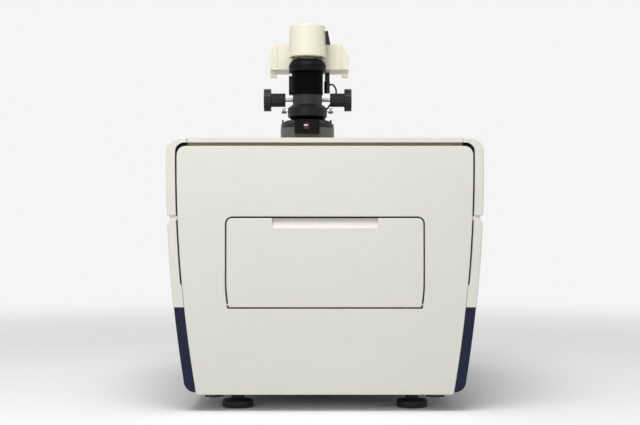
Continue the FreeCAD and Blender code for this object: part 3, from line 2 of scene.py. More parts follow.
# This file dresses a bench imaging cabinet: a cream case with bowed sides, a drop-down door, a
# top lid and a black microscope stand on the roof. The shapes come packed from the part's own
# model, so the lesson is about finishes, light and the small pieces that a maker adds last. The
# first cell loads the imported model and keeps its nodes and its record. Nothing that is added
# later may reach outside it.

# %% Load the imported model
import bmesh
import bpy
import json
import math
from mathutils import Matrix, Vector


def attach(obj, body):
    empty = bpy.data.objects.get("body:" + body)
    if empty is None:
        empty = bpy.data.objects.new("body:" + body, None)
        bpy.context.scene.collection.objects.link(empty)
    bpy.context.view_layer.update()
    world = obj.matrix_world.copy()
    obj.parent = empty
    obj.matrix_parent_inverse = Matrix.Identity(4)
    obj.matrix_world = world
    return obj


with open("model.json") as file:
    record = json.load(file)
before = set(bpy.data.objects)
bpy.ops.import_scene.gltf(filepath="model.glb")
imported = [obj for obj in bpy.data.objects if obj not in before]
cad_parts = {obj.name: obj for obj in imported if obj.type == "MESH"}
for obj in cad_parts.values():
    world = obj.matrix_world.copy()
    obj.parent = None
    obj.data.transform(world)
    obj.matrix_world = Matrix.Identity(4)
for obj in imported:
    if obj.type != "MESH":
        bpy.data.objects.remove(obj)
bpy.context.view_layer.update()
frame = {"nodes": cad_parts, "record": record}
nodes = frame["nodes"]

# %% [markdown]
# The camera comes first, because everything else is judged through it. The photograph was
# taken with a moderately long lens, a little to the left of the case's middle and about level
# with its centre. The lens could be guessed and nudged, but a focal length worked out from
# known widths keeps the near case and the far stand in proportion.

# %% Camera
FRAME_WIDTH, FRAME_HEIGHT = 640, 425
SENSOR_MM = 36.0
FOCAL_PIXELS = 1203
CAMERA_PLACE = (-0.0095, -2.695, 0.3504)
HORIZON_PIXEL = 229
FARTHEST_SEEN = 50

tilt = math.atan((HORIZON_PIXEL - FRAME_HEIGHT / 2) / FOCAL_PIXELS)
bpy.ops.object.camera_add(location=CAMERA_PLACE, rotation=(math.radians(90) + tilt, 0, 0))
camera = bpy.context.object
camera.data.sensor_fit = "HORIZONTAL"
camera.data.sensor_width = SENSOR_MM
camera.data.lens = FOCAL_PIXELS / FRAME_WIDTH * SENSOR_MM
camera.data.clip_end = FARTHEST_SEEN
bpy.context.scene.camera = camera
print(f"lens {camera.data.lens:.1f} mm, tilt {math.degrees(tilt):.2f} degrees")

# %% [markdown]
# The room and the table below are shown to the camera in one tone and light the object in
# another. Turning a lamp up until the wall is white would burn out the cream covers, so two
# helpers do it instead. One makes a mask of the rays that see a surface directly, and the
# other goes from one shader to a second one by such a mask.


# %% Helpers for the room and the table
def seen_directly(tree):
    """A mask that is 1 for rays from the camera, a reflection or through glass."""
    path = tree.nodes.new("ShaderNodeLightPath")
    mask = path.outputs["Is Camera Ray"]
    for ray in ("Is Glossy Ray", "Is Transmission Ray"):
        larger = tree.nodes.new("ShaderNodeMath")
        larger.operation = "MAXIMUM"
        tree.links.new(mask, larger.inputs[0])
        tree.links.new(path.outputs[ray], larger.inputs[1])
        mask = larger.outputs[0]
    return mask


def mix_shaders(tree, mask, first, second):
    """Show the first shader where the mask is 0 and the second where it is 1."""
    mix = tree.nodes.new("ShaderNodeMixShader")
    for source, socket in zip((mask, first, second), mix.inputs):
        tree.links.new(source, socket)
    return mix.outputs[0]


# %% [markdown]
# A white room lights the object softly from all around, and more from its ceiling than from
# its walls. The light grows from the level of the walls to that of the zenith, and only the
# rays that see the room directly find an even pale wall.

# %% World
CEILING_LIGHT, WALL_LIGHT = 0.72, 0.27
WALL_TONE = 0.91

world = bpy.data.worlds.new("white_room")
bpy.context.scene.world = world
world.use_nodes = True
sky = world.node_tree
sky.nodes.clear()
direction = sky.nodes.new("ShaderNodeTexCoord")
heights = sky.nodes.new("ShaderNodeSeparateXYZ")
sky.links.new(direction.outputs["Generated"], heights.inputs[0])
climb = sky.nodes.new("ShaderNodeMapRange")
climb.inputs["To Min"].default_value = WALL_LIGHT
climb.inputs["To Max"].default_value = CEILING_LIGHT
sky.links.new(heights.outputs["Z"], climb.inputs["Value"])
room_light = sky.nodes.new("ShaderNodeBackground")
room_light.inputs["Color"].default_value = (1, 1, 1, 1)
sky.links.new(climb.outputs["Result"], room_light.inputs["Strength"])
pale_wall = sky.nodes.new("ShaderNodeBackground")
pale_wall.inputs["Color"].default_value = (1, 1, 1, 1)
pale_wall.inputs["Strength"].default_value = WALL_TONE
room = mix_shaders(sky, seen_directly(sky), room_light.outputs[0], pale_wall.outputs[0])
sky.links.new(room, sky.nodes.new("ShaderNodeOutputWorld").inputs["Surface"])
bpy.context.scene.view_settings.view_transform = "Standard"
print("room light", WALL_LIGHT, "to", CEILING_LIGHT)

# %% [markdown]
# Two soft lamps shape the form: one high above, which makes the lid's edge and the top of the
# bowed front the brightest places, and a weaker, wider one in front on the left. Sun lamps
# would draw hard shadows that the photograph doesn't have, so both are large area lamps.

# %% Lamps
LAMP_TARGET = Vector((0, 0, 0.35))
LAMPS = {  # place and width in metres, and watts
    "ceiling_lamp": ((-0.2, -1.1, 2.1), 1.3, 24),
    "front_lamp": ((-1.2, -3.4, 1.6), 2.0, 14),
}
for lamp_name, (place, width, watts) in LAMPS.items():
    aim = (LAMP_TARGET - Vector(place)).to_track_quat("-Z", "Y").to_euler()
    bpy.ops.object.light_add(type="AREA", location=place, rotation=aim)
    lamp = bpy.context.object
    lamp.name = lamp_name
    lamp.data.shape = "SQUARE"
    lamp.data.size = width
    lamp.data.energy = watts
print(len(LAMPS), "lamps")

# %% [markdown]
# The instrument stands on a white table top. For the light that bounces off it the table is a
# plain diffuse white. The camera and reflections see the same diffuse surface in a stronger
# white, so that it looks as bright as the room while the soft shadow under the case stays, and
# further out it passes into the tone of the wall, so no horizon line cuts the picture.

# %% Floor
TABLE_SIDE, TABLE_MIDDLE_Y = 16, 3
TABLE_BOUNCE, TABLE_WHITE = 0.8, 0.95
FADE_FROM, FADE_TO = 0.9, 3.4

bpy.ops.mesh.primitive_plane_add(size=TABLE_SIDE, location=(0, TABLE_MIDDLE_Y, 0))
floor = bpy.context.object
floor.name = "table_top"
bpy.ops.object.transform_apply(location=True)
paint = bpy.data.materials.new("white_table")
paint.use_nodes = True
table = paint.node_tree
table.nodes.clear()
spot = table.nodes.new("ShaderNodeTexCoord")
away = table.nodes.new("ShaderNodeVectorMath")
away.operation = "LENGTH"
table.links.new(spot.outputs["Object"], away.inputs[0])
fade = table.nodes.new("ShaderNodeMapRange")
fade.interpolation_type = "SMOOTHSTEP"
fade.inputs["From Min"].default_value = FADE_FROM
fade.inputs["From Max"].default_value = FADE_TO
table.links.new(away.outputs["Value"], fade.inputs["Value"])
plain = table.nodes.new("ShaderNodeBsdfDiffuse")
plain.inputs["Color"].default_value = (TABLE_BOUNCE, TABLE_BOUNCE, TABLE_BOUNCE, 1)
bright = table.nodes.new("ShaderNodeBsdfDiffuse")
bright.inputs["Color"].default_value = (TABLE_WHITE, TABLE_WHITE, TABLE_WHITE, 1)
wall = table.nodes.new("ShaderNodeEmission")
wall.inputs["Strength"].default_value = WALL_TONE
shown = mix_shaders(table, fade.outputs["Result"], bright.outputs[0], wall.outputs[0])
surface = mix_shaders(table, seen_directly(table), plain.outputs[0], shown)
table.links.new(surface, table.nodes.new("ShaderNodeOutputMaterial").inputs["Surface"])
floor.data.materials.append(paint)
print("floor", tuple(round(side, 2) for side in floor.dimensions))

# %% [markdown]
# Colours are written as the eye reads them on a screen, from 0 to 255, and turned into the
# linear values that a shader works with. Two effects serve many finishes, so each is a node
# group that is built once: a fine grain, for moulded and painted skins, and a slow drift of
# tone, which keeps large surfaces from looking like paper.


# %% Colour helper and shared effects
def colour(red, green, blue):
    """A screen colour as linear values with an alpha of 1."""
    return tuple(((part / 255 + 0.055) / 1.055) ** 2.4 for part in (red, green, blue)) + (1,)


def new_group(name, inputs, outputs):
    """An empty shader group with float sockets and default values."""
    group = bpy.data.node_groups.new(name, "ShaderNodeTree")
    for label, start in inputs.items():
        socket = group.interface.new_socket(label, in_out="INPUT", socket_type="NodeSocketFloat")
        socket.default_value = start
    for label in outputs:
        group.interface.new_socket(label, in_out="OUTPUT", socket_type="NodeSocketFloat")
    return group, group.nodes.new("NodeGroupInput"), group.nodes.new("NodeGroupOutput")


def noise_of(group, source, scale, detail):
    """Object coordinates through a noise whose scale comes from a socket."""
    coordinates = group.nodes.new("ShaderNodeTexCoord")
    noise = group.nodes.new("ShaderNodeTexNoise")
    noise.inputs["Detail"].default_value = detail
    group.links.new(coordinates.outputs["Object"], noise.inputs["Vector"])
    group.links.new(source.outputs[scale], noise.inputs["Scale"])
    return noise.outputs["Fac"]


grain_group, given, out = new_group("fine_grain", {"Grains per metre": 1400.0}, ["Height"])
grain_group.links.new(noise_of(grain_group, given, "Grains per metre", 2.0),
                      out.inputs["Height"])

tone_group, given, out = new_group("tone_drift", {"Patches per metre": 4.0}, ["Mask"])
tone_group.links.new(noise_of(tone_group, given, "Patches per metre", 4.0),
                     out.inputs["Mask"])
print("groups", [group.name for group in bpy.data.node_groups])

# %% [markdown]
# Paint and moulding are never quite sharp at an edge, and never quite flat between two edges.
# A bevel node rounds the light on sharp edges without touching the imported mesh, and the shared
# grain lies on top of it as a bump.

# %% Surface helpers
GRAIN_DEPTH = 0.0005
EDGE_SAMPLES = 4


def add_group(tree, group, **values):
    """Place a shared group in a material and set its sockets."""
    node = tree.nodes.new("ShaderNodeGroup")
    node.node_tree = group
    for label, value in values.items():
        node.inputs[label.replace("_", " ")].default_value = value
    return node


def grainy_normal(tree, grain, grains, edge):
    """A normal with rounded edges and a fine grain."""
    round_edge = tree.nodes.new("ShaderNodeBevel")
    round_edge.samples = EDGE_SAMPLES
    round_edge.inputs["Radius"].default_value = edge
    bump = tree.nodes.new("ShaderNodeBump")
    bump.inputs["Strength"].default_value = grain
    bump.inputs["Distance"].default_value = GRAIN_DEPTH
    height = add_group(tree, grain_group, Grains_per_metre=grains)
    tree.links.new(height.outputs["Height"], bump.inputs["Height"])
    tree.links.new(round_edge.outputs["Normal"], bump.inputs["Normal"])
    return bump.outputs["Normal"]


# %% [markdown]
# One helper builds every painted, moulded or metal finish. The shader stays in the material,
# with the plain numbers on its own sockets, and the groups feed only what changes over the
# surface: the colour, the roughness and the bump.

# %% Finish helper
ROUGHNESS_DRIFT = 0.05


def finish(name, light, dark, roughness, grain=0.1, grains=1400.0, patches=4.0,
           edge=0.0006, **sockets):
    """A Principled material: colours drift between light and dark, and a grain gives bump."""
    material = bpy.data.materials.new(name)
    material.use_nodes = True
    tree = material.node_tree
    shader = tree.nodes["Principled BSDF"]
    tone = add_group(tree, tone_group, Patches_per_metre=patches)
    mixed = tree.nodes.new("ShaderNodeMix")
    mixed.data_type = "RGBA"
    tree.links.new(tone.outputs["Mask"], mixed.inputs["Factor"])
    mixed.inputs["A"].default_value = dark
    mixed.inputs["B"].default_value = light
    tree.links.new(mixed.outputs["Result"], shader.inputs["Base Color"])
    dullness = tree.nodes.new("ShaderNodeMapRange")
    dullness.inputs["To Min"].default_value = roughness - ROUGHNESS_DRIFT
    dullness.inputs["To Max"].default_value = roughness + ROUGHNESS_DRIFT
    tree.links.new(tone.outputs["Mask"], dullness.inputs["Value"])
    tree.links.new(dullness.outputs["Result"], shader.inputs["Roughness"])
    tree.links.new(grainy_normal(tree, grain, grains, edge), shader.inputs["Normal"])
    for label, value in sockets.items():
        shader.inputs[label.replace("_", " ")].default_value = value
    return material


# %% [markdown]
# Next come the finishes themselves. The covers are a warm off-white moulding with a satin
# skin. The skirts are a deep navy. The stand is black anodised and black painted metal, with
# a cream lamp house, and the inside is bare aluminium and plated sheet.

# %% Finishes
finishes = {
    "cream_plastic": finish("cream_moulding", colour(232, 231, 222), colour(226, 225, 215), 0.42,
                            grain=0.06, edge=0.0012, Specular_IOR_Level=0.4),
    "cream_paint": finish("cream_paint", colour(240, 236, 217), colour(234, 230, 210), 0.38,
                          grain=0.05, edge=0.0008),
    "navy_plastic": finish("navy_moulding", colour(38, 40, 65), colour(32, 34, 57), 0.52,
                           grain=0.08, edge=0.0012, Specular_IOR_Level=0.14),
    "black_anodised": finish("black_anodised", colour(14, 12, 14), colour(9, 8, 10), 0.42,
                             grain=0.05, grains=2600, patches=30, edge=0.0004,
                             Specular_IOR_Level=0.12),
    "black_paint": finish("black_paint", colour(24, 22, 24), colour(17, 16, 18), 0.44,
                          grain=0.12, grains=2200, patches=25, edge=0.0005,
                          Specular_IOR_Level=0.35),
    "black_plastic": finish("black_moulding", colour(27, 27, 27), colour(20, 20, 20), 0.42,
                            grain=0.2, grains=2400, patches=20, edge=0.0005),
    "grey_paint": finish("grey_paint", colour(92, 90, 83), colour(80, 78, 72), 0.46,
                         grain=0.1, grains=1800, patches=20, edge=0.0006),
    "aluminium": finish("machined_aluminium", colour(206, 208, 210), colour(192, 194, 197), 0.36,
                        grain=0.06, grains=3000, patches=9, edge=0.0005, Metallic=1.0),
    "steel": finish("ground_steel", colour(190, 190, 192), colour(172, 172, 175), 0.26,
                    grain=0.04, grains=3000, patches=40, edge=0.0003, Metallic=1.0),
    "chrome": finish("chrome_plate", colour(226, 226, 228), colour(216, 216, 218), 0.12,
                     grain=0.01, patches=30, edge=0.0003, Metallic=1.0),
    "sheet_steel": finish("plated_sheet", colour(184, 187, 188), colour(166, 169, 171), 0.4,
                          grain=0.04, grains=900, patches=60, edge=0.0003, Metallic=0.9),
    "rubber": finish("foot_rubber", colour(24, 24, 26), colour(18, 18, 20), 0.68,
                     grain=0.3, grains=1600, patches=25, edge=0.0006),
    "lead_sheath": finish("lead_sheath", colour(24, 24, 25), colour(19, 19, 20), 0.45,
                          grain=0.1, grains=2600, patches=40, edge=0.0002),
}
print(len(finishes), "painted, moulded and metal finishes")

# %% [markdown]
# Lenses and objectives' front glasses have a faint blue-green coat. Glass needs no drift and
# no grain, so it is the plain shader with its transmission turned up.

# %% Glass
glass = bpy.data.materials.new("coated_glass")
glass.use_nodes = True
lens = glass.node_tree.nodes["Principled BSDF"]
lens.inputs["Base Color"].default_value = (0.82, 0.9, 0.94, 1)
lens.inputs["Roughness"].default_value = 0.03
lens.inputs["IOR"].default_value = 1.5
lens.inputs["Transmission Weight"].default_value = 1.0
finishes["glass"] = glass
print(len(finishes), "finishes")

# %% [markdown]
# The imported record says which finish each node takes, so the nodes are dressed in one loop.

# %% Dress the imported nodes
slot_of = {row["node"]: row["material_slot"] for row in frame["record"]["subparts"]}
for node_name, node in nodes.items():
    node.data.materials.clear()
    node.data.materials.append(finishes[slot_of[node_name]])
print("dressed", len(nodes), "nodes")

# %% [markdown]
# The black metal of the stand isn't all one black. The tall light tube is a dead matt black, the
# tube below it is painted a warm dark grey, a painted reflection of the sheen it shows, the
# rings and knobs are a satin black, and the turned foot of the stand is mottled in brown-black
# patches. One black for all of them would be simplest, but it hides where one piece ends and the
# next begins. All of these come from the same helper, so the metal still looks related.

# %% Finishes of the stand
stand_finishes = {
    "light_tube": finish("matt_black_tube", colour(10, 8, 11), colour(7, 6, 8), 0.6,
                         grain=0.05, grains=2600, patches=20, Specular_IOR_Level=0.03),
    # The lower tube's warm grey is a painted reflection of its sheen.
    "condenser_tube": finish("black_tube_painted_sheen", colour(48, 43, 45), colour(38, 35, 36), 0.42,
                             grain=0.06, grains=2600, patches=60, Specular_IOR_Level=0.3),
    "condenser_ring": finish("satin_black_ring", colour(18, 16, 16), colour(12, 11, 11), 0.36,
                             grain=0.08, grains=2200, patches=90, Specular_IOR_Level=0.25),
    "focus_knobs": finish("satin_black_knob", colour(15, 15, 14), colour(10, 10, 9), 0.28,
                          grain=0.06, grains=2400, patches=60, Specular_IOR_Level=0.3),
    "index_block": finish("dull_black_block", colour(13, 11, 12), colour(9, 8, 9), 0.5,
                          grain=0.1, grains=2000, patches=40, Specular_IOR_Level=0.12),
    "tower_clamp_ring": finish("mottled_black", colour(34, 31, 28), colour(7, 7, 6), 0.4,
                               grain=0.5, grains=700, patches=260, Specular_IOR_Level=0.3),
}
for node_name, stand_finish in stand_finishes.items():
    nodes[node_name].data.materials[0] = stand_finish
print("stand finishes", len(stand_finishes))

# %% [markdown]
# The imported solids carry every main form. What they leave out are small fitted things: dark
# strips that paint the shade in the seams, screw heads, a knurl, a coloured ring. Each of them
# starts as a primitive at its place and is shaped in edit mode. Three short helpers keep that
# readable: one starts a piece, one selects corners, edges or faces by where they are, and one
# extrudes.


# %% Helpers to start and shape a piece
def begin(name, add, sides=(1, 1, 1), **given):
    """Add a primitive, fix its place in its mesh and open it in edit mode."""
    bpy.ops.object.select_all(action="DESELECT")
    add(**given)
    piece = bpy.context.object
    piece.name = piece.data.name = name
    piece.scale = sides
    bpy.ops.object.transform_apply(location=True, rotation=True, scale=True)
    bpy.ops.object.mode_set(mode="EDIT")
    return piece


def choose(kind, test):
    """Select the verts, edges or faces whose middle and normal (or direction) pass a test."""
    mesh = bmesh.from_edit_mesh(bpy.context.object.data)
    bpy.ops.mesh.select_mode(type={"verts": "VERT", "edges": "EDGE", "faces": "FACE"}[kind])
    bpy.ops.mesh.select_all(action="DESELECT")
    mesh.normal_update()
    for part in getattr(mesh, kind):
        if kind == "edges":
            first, last = (vert.co for vert in part.verts)
            middle, normal = (first + last) / 2, (last - first).normalized()
        else:
            middle = part.co if kind == "verts" else part.calc_center_median()
            normal = part.normal
        if test(middle, normal):
            part.select_set(True)
    bmesh.update_edit_mesh(bpy.context.object.data)


def move(x=0.0, y=0.0, z=0.0):
    """Extrude the selection and carry it along, in metres."""
    bpy.ops.mesh.extrude_region_move(TRANSFORM_OT_translate={"value": (x, y, z)})


# %% [markdown]
# Every piece is closed in the same way. Its normals are turned outwards, its shallow edges are
# shaded smooth, it gets its finish, taken from the named slot when no material is given, and it
# is hung on the body it moves with.

# %% Helpers to close a piece
MM = 0.001
SMOOTH_BELOW = math.radians(30)


def only(piece):
    """Make a piece the one that is selected and active."""
    bpy.ops.object.select_all(action="DESELECT")
    piece.select_set(True)
    bpy.context.view_layer.objects.active = piece


def finished(piece, slot, body, material=None, outward=True):
    """Close a piece: outward normals, shading, finish (from the slot when no material is given)
    and body.
    """
    if bpy.context.mode == "OBJECT":
        bpy.ops.object.mode_set(mode="EDIT")
    if outward:
        bpy.ops.mesh.select_all(action="SELECT")
        bpy.ops.mesh.normals_make_consistent(inside=False)
    bpy.ops.object.mode_set(mode="OBJECT")
    bpy.ops.object.transform_apply(location=True, rotation=True, scale=True)
    bpy.ops.object.shade_smooth_by_angle(angle=SMOOTH_BELOW)
    piece.data.materials.clear()
    piece.data.materials.append(material or finishes[slot])
    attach(piece, body)
    low, high = ([round(end(vert.co[axis] for vert in piece.data.vertices) / MM, 1)
                  for axis in range(3)] for end in (min, max))
    print(piece.name, len(piece.data.polygons), "faces, mm", low, high)


# %% [markdown]
# A dark line runs between the front panel and the side covers, a narrow gap in shade. A black
# strip set in the gap paints that shade, because the open gap would show lit cream walls. Its
# course could be typed as a row of points, but a formula from the bow of the side keeps it in
# the middle of the gap at every height.

# %% Course of the seam's shade strip
HALF_WIDTH, SIDE_RADIUS, BOW_LEVEL, SEAM_INSET = 305.5, 2900, 499, 18.9
SEAM_LOW, SEAM_TURN, CORNER_X, CORNER_RADIUS = 246, 496, 269.2, 17.4


def seam_x(z):
    """The middle of the seam beside the panel, at a height in millimetres."""
    across = math.sqrt((SIDE_RADIUS - SEAM_INSET) ** 2 - (BOW_LEVEL - z) ** 2)
    return HALF_WIDTH - SIDE_RADIUS + across


def outside_middle(at):
    """How far a place lies outside the middle line of the turn, in millimetres."""
    return math.hypot(max(at.x / MM - CORNER_X, 0), at.z / MM - SEAM_TURN) - CORNER_RADIUS


print(f"seam at x {seam_x(SEAM_LOW):.1f} mm below and {seam_x(SEAM_TURN):.1f} mm at its turn")

# %% [markdown]
# A flat black plane behind the gap would look right from the front alone, so the strip is a bar
# that climbs along the bowed side, turns round the panel's corner and ends under the lid. One
# end face is extruded up in short steps and then spun, and the end under the lid is made
# thicker. The left strip is a mirrored copy.

# %% Seam strip of painted shade
SEAM_STRIP_Y, SEAM_STRIP_SIDES = -0.378, (0.003, 0.010, 1)
CLIMB_STEPS, TURN_STEPS = 10, 8
LID_RUN = 0.0022
THICK_BELOW_X, THICK_ABOVE_Z, THICKER = 0.2745, 0.505, 0.0014
# The strip's near-black is painted shade. It makes the gap darker than the open gap would
# render.
painted_shade_black = finish("painted_shade_black", colour(14, 14, 12), colour(8, 8, 7), 0.8, grain=0.4,
                    grains=900, patches=120, Specular_IOR_Level=0.1)

seam = begin("seam_shade_strip_right", bpy.ops.mesh.primitive_plane_add, size=1, sides=SEAM_STRIP_SIDES,
             location=(seam_x(SEAM_LOW) * MM, SEAM_STRIP_Y, SEAM_LOW * MM))
levels = [SEAM_LOW + (SEAM_TURN - SEAM_LOW) * step / CLIMB_STEPS
          for step in range(CLIMB_STEPS + 1)]
for low, high in zip(levels, levels[1:]):
    move(x=(seam_x(high) - seam_x(low)) * MM, z=(high - low) * MM)
bpy.ops.mesh.spin(steps=TURN_STEPS, angle=math.radians(90), axis=(0, 1, 0),
                  center=(CORNER_X * MM, 0, SEAM_TURN * MM))
move(x=-LID_RUN)
for side in (1, -1):
    choose("verts", lambda at, _: at.x < THICK_BELOW_X and at.z > THICK_ABOVE_Z
           and side * outside_middle(at) > 0)
    bpy.ops.transform.translate(value=(0, 0, side * THICKER))
bpy.ops.object.mode_set(mode="OBJECT")
bpy.ops.object.duplicate()
twin = bpy.context.object
twin.name = twin.data.name = "seam_shade_strip_left"
twin.scale.x = -1
bpy.ops.object.transform_apply(scale=True)
finished(twin, "rubber", "enclosure", painted_shade_black)
only(seam)
finished(seam, "rubber", "enclosure", painted_shade_black)

# %% [markdown]
# The gap under the lid is wider and lies in deep shade. An olive strip along it paints that
# shade, in the tone of the shaded ledge. A line painted on the lid would swing away with it, so
# the strip is a piece of its own, fixed to the case. It is one long bar with rounded front
# edges, made from a cube and a bevel.

# %% Lid strip
STRIP_PLACE, STRIP_SIDES = (0, -0.37745, 0.51335), (0.529, 0.0035, 0.0065)
# The olive is painted shade, the tone of the shaded ledge in the gap.
lid_gap_painted_shade = finish("lid_gap_painted_shade", colour(152, 150, 118), colour(138, 136, 104), 0.75, grain=0.4,
                    grains=900, patches=60, Specular_IOR_Level=0.12)
strip = begin("lid_strip", bpy.ops.mesh.primitive_cube_add, size=1, location=STRIP_PLACE,
              sides=STRIP_SIDES)
choose("edges", lambda at, along: abs(along.x) > 0.9 and at.y < STRIP_PLACE[1])
bpy.ops.mesh.bevel(offset=0.0008, segments=3)
finished(strip, "rubber", "enclosure", lid_gap_painted_shade)

# %% [markdown]
# Behind the door's edge lies a gasket, fixed to the case. It keeps light out of the sample
# space, and its black paints the shade in the line round the door, so that line stays dark. It
# is a thin frame with rounded corners: a plane gets its corners bevelled, its middle inset and
# removed, and the ring left over a thickness. It sits a little behind the door, which leaves
# room for the corner that swings inwards.

# %% Door gasket
GASKET_PLACE, GASKET_SIDES = Vector((0, -0.3690, 0.2860)), (0.3930, 0.1870, 1)
GASKET_CORNER, GASKET_WIDTH, GASKET_THICKNESS = 0.018, 0.008, 0.0025
gasket = begin("door_gasket", bpy.ops.mesh.primitive_plane_add, size=1, sides=GASKET_SIDES,
               location=GASKET_PLACE, rotation=(math.radians(90), 0, 0))
bpy.ops.mesh.bevel(offset=GASKET_CORNER, segments=6, affect="VERTICES")
bpy.ops.mesh.inset(thickness=GASKET_WIDTH)
choose("faces", lambda at, _: (at - GASKET_PLACE).length < GASKET_WIDTH)
bpy.ops.mesh.delete(type="FACE")
bpy.ops.mesh.select_all(action="SELECT")
move(y=GASKET_THICKNESS)
# The gasket's black is painted shade for the slot round the door.
finished(gasket, "rubber", "enclosure", painted_shade_black)

# %% [markdown]
# Several pieces are held by socket screws. Each head is a short cylinder. Its outer face is
# inset for the rim and crowned a little, and then inset twice more for the socket, which is
# pushed in. A head is modelled once for each group and copied along, and the copies are joined
# to it.

# %% Screw head helpers
RIM, SOCKET, SOCKET_WALL = 0.16, 0.3, 0.02  # insets, as shares of the radius
CROWN, SINK = 0.18, 0.55  # the rise and the depth, as shares of the height


def screw_head(name, place, radius, height, up=-1):
    """A socket screw's head that hangs from, or stands on, a level face."""
    x, y, z = place
    piece = begin(name, bpy.ops.mesh.primitive_cylinder_add, vertices=24, radius=radius,
                  depth=height, location=(x, y, z + up * height / 2))
    choose("faces", lambda at, facing: facing.z * up > 0.9)
    bpy.ops.mesh.inset(thickness=radius * RIM)
    bpy.ops.transform.translate(value=(0, 0, up * height * CROWN))
    bpy.ops.mesh.inset(thickness=radius * SOCKET)
    bpy.ops.mesh.inset(thickness=radius * SOCKET_WALL)
    bpy.ops.transform.translate(value=(0, 0, -up * height * SINK))
    return piece


def repeat(piece, offsets):
    """Copy a piece to each offset and join the copies to it."""
    bpy.ops.object.mode_set(mode="OBJECT")
    copies = []
    for offset in offsets:
        only(piece)
        bpy.ops.object.duplicate()
        bpy.context.object.location = offset
        copies.append(bpy.context.object)
    only(piece)
    for copy in copies:
        copy.select_set(True)
    bpy.ops.object.join()


# %% [markdown]
# The lamp house is closed from below by three screws, and a collar sits round the neck between
# the lamp house and the black collector. Its near-white colour is a painted reflection, the
# bright crescent of a chrome ring. The collar is a short cylinder with both ends inset and its
# outer edges bevelled, because only its rim shows.

# %% Lamp house screws and collar
TOWER_X, TOWER_Y = -0.0375, -0.020
HOUSE_LOW_Z = 0.7316
SCREWS_APART, SCREWS_FORWARD, SCREW_BACK = 0.0624, 0.018, 0.036
COLLAR_Z, COLLAR_RADIUS, COLLAR_HEIGHT, COLLAR_RIM = 0.7294, 0.0158, 0.0040, 0.0012

screws = screw_head("lamp_house_screws", radius=0.0034, height=0.0018, place=(
    TOWER_X - SCREWS_APART / 2, TOWER_Y - SCREWS_FORWARD, HOUSE_LOW_Z))
repeat(screws, [(SCREWS_APART, 0, 0), (SCREWS_APART / 2, SCREWS_FORWARD + SCREW_BACK, 0)])
finished(screws, "black_paint", "enclosure")
# Near-white paint on the collar is a painted reflection of a chrome ring.
collar_painted_reflection = finish("painted_reflection_collar", colour(246, 242, 226), colour(236, 232, 214), 0.25,
                      grain=0.02, patches=60)
collar = begin("lamp_collar", bpy.ops.mesh.primitive_cylinder_add, vertices=48,
               radius=COLLAR_RADIUS, depth=COLLAR_HEIGHT, location=(TOWER_X, TOWER_Y, COLLAR_Z))
choose("faces", lambda at, facing: abs(facing.z) > 0.9)
bpy.ops.mesh.inset(thickness=COLLAR_RIM)
choose("edges", lambda at, along: abs(along.z) < 0.1 and math.hypot(
    at.x - TOWER_X, at.y - TOWER_Y) > COLLAR_RADIUS - COLLAR_RIM / 4)
bpy.ops.mesh.bevel(offset=COLLAR_RIM / 2, segments=2)
finished(collar, "chrome", "enclosure", collar_painted_reflection)

# %% [markdown]
# The shoulder of the collector is knurled, so that a hand can turn it. One rib is extruded
# along the shoulder's arc by a spin, and a second spin copies it sixty times round the tube.
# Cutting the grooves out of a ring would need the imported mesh, which stays as it is. The
# normals are made right on the one rib, before it is copied.

# %% Collector knurl
ARC_FROM_AXIS, ARC_Z, ARC_RADIUS, ARC_DEGREES = 0.0231, 0.709, 0.018, 62
RIB_START_Z, RIB_SIDES = 0.7095, (0.0009, 0.0017, 1)
RIB_COUNT, RIB_STEPS = 60, 6

rib = begin("collector_knurl", bpy.ops.mesh.primitive_plane_add, size=1, sides=RIB_SIDES,
            location=(TOWER_X + ARC_FROM_AXIS + ARC_RADIUS, TOWER_Y, RIB_START_Z))
bpy.ops.mesh.spin(steps=RIB_STEPS, angle=math.radians(ARC_DEGREES), axis=(0, 1, 0),
                  center=(TOWER_X + ARC_FROM_AXIS, TOWER_Y, ARC_Z))
bpy.ops.mesh.select_all(action="SELECT")
bpy.ops.mesh.normals_make_consistent(inside=False)
bpy.ops.mesh.spin(steps=RIB_COUNT, dupli=True, angle=math.radians(360), axis=(0, 0, 1),
                  center=(TOWER_X, TOWER_Y, 0))
finished(rib, "black_anodised", "enclosure", outward=False)

# %% [markdown]
# A small plain plate with a pale pointer line marks the middle of the index block. It is dark
# red, as such marks often are. The plate is a thin cube with rounded corners, and the line is a
# second one that stands a little proud of it.

# %% Index mark
INDEX_CORNER, INDEX_RIM = 0.0008, 0.0002
index_red = finish("index_red", colour(74, 14, 30), colour(58, 10, 22), 0.4, grain=0.05)
pointer_white = finish("pointer_white", colour(236, 214, 222), colour(226, 204, 212), 0.4,
                       grain=0.03)
INDEX_PARTS = {  # place and sides in metres, and finish
    "index_plate": ((-0.0388, -0.0942, 0.5735), (0.0118, 0.0010, 0.0125), index_red),
    "index_pointer": ((-0.0400, -0.0947, 0.5752), (0.0082, 0.0008, 0.0030), pointer_white),
}
for name, (place, sides, material) in INDEX_PARTS.items():
    mark = begin(name, bpy.ops.mesh.primitive_cube_add, size=1, location=place, sides=sides)
    choose("edges", lambda at, along: abs(along.y) > 0.9)
    bpy.ops.mesh.bevel(offset=INDEX_CORNER, segments=3)
    choose("faces", lambda at, facing: facing.y < -0.9)
    bpy.ops.mesh.inset(thickness=INDEX_RIM)
    finished(mark, "black_paint", "enclosure", material)

# %% [markdown]
# The two thumb screws have knurled heads. A ring with many sides slips over each packed head,
# and every other side is inset and pushed in, which leaves the raised lands of a knurl. The
# ring turns with its screw, so each one rides on its screw's body.

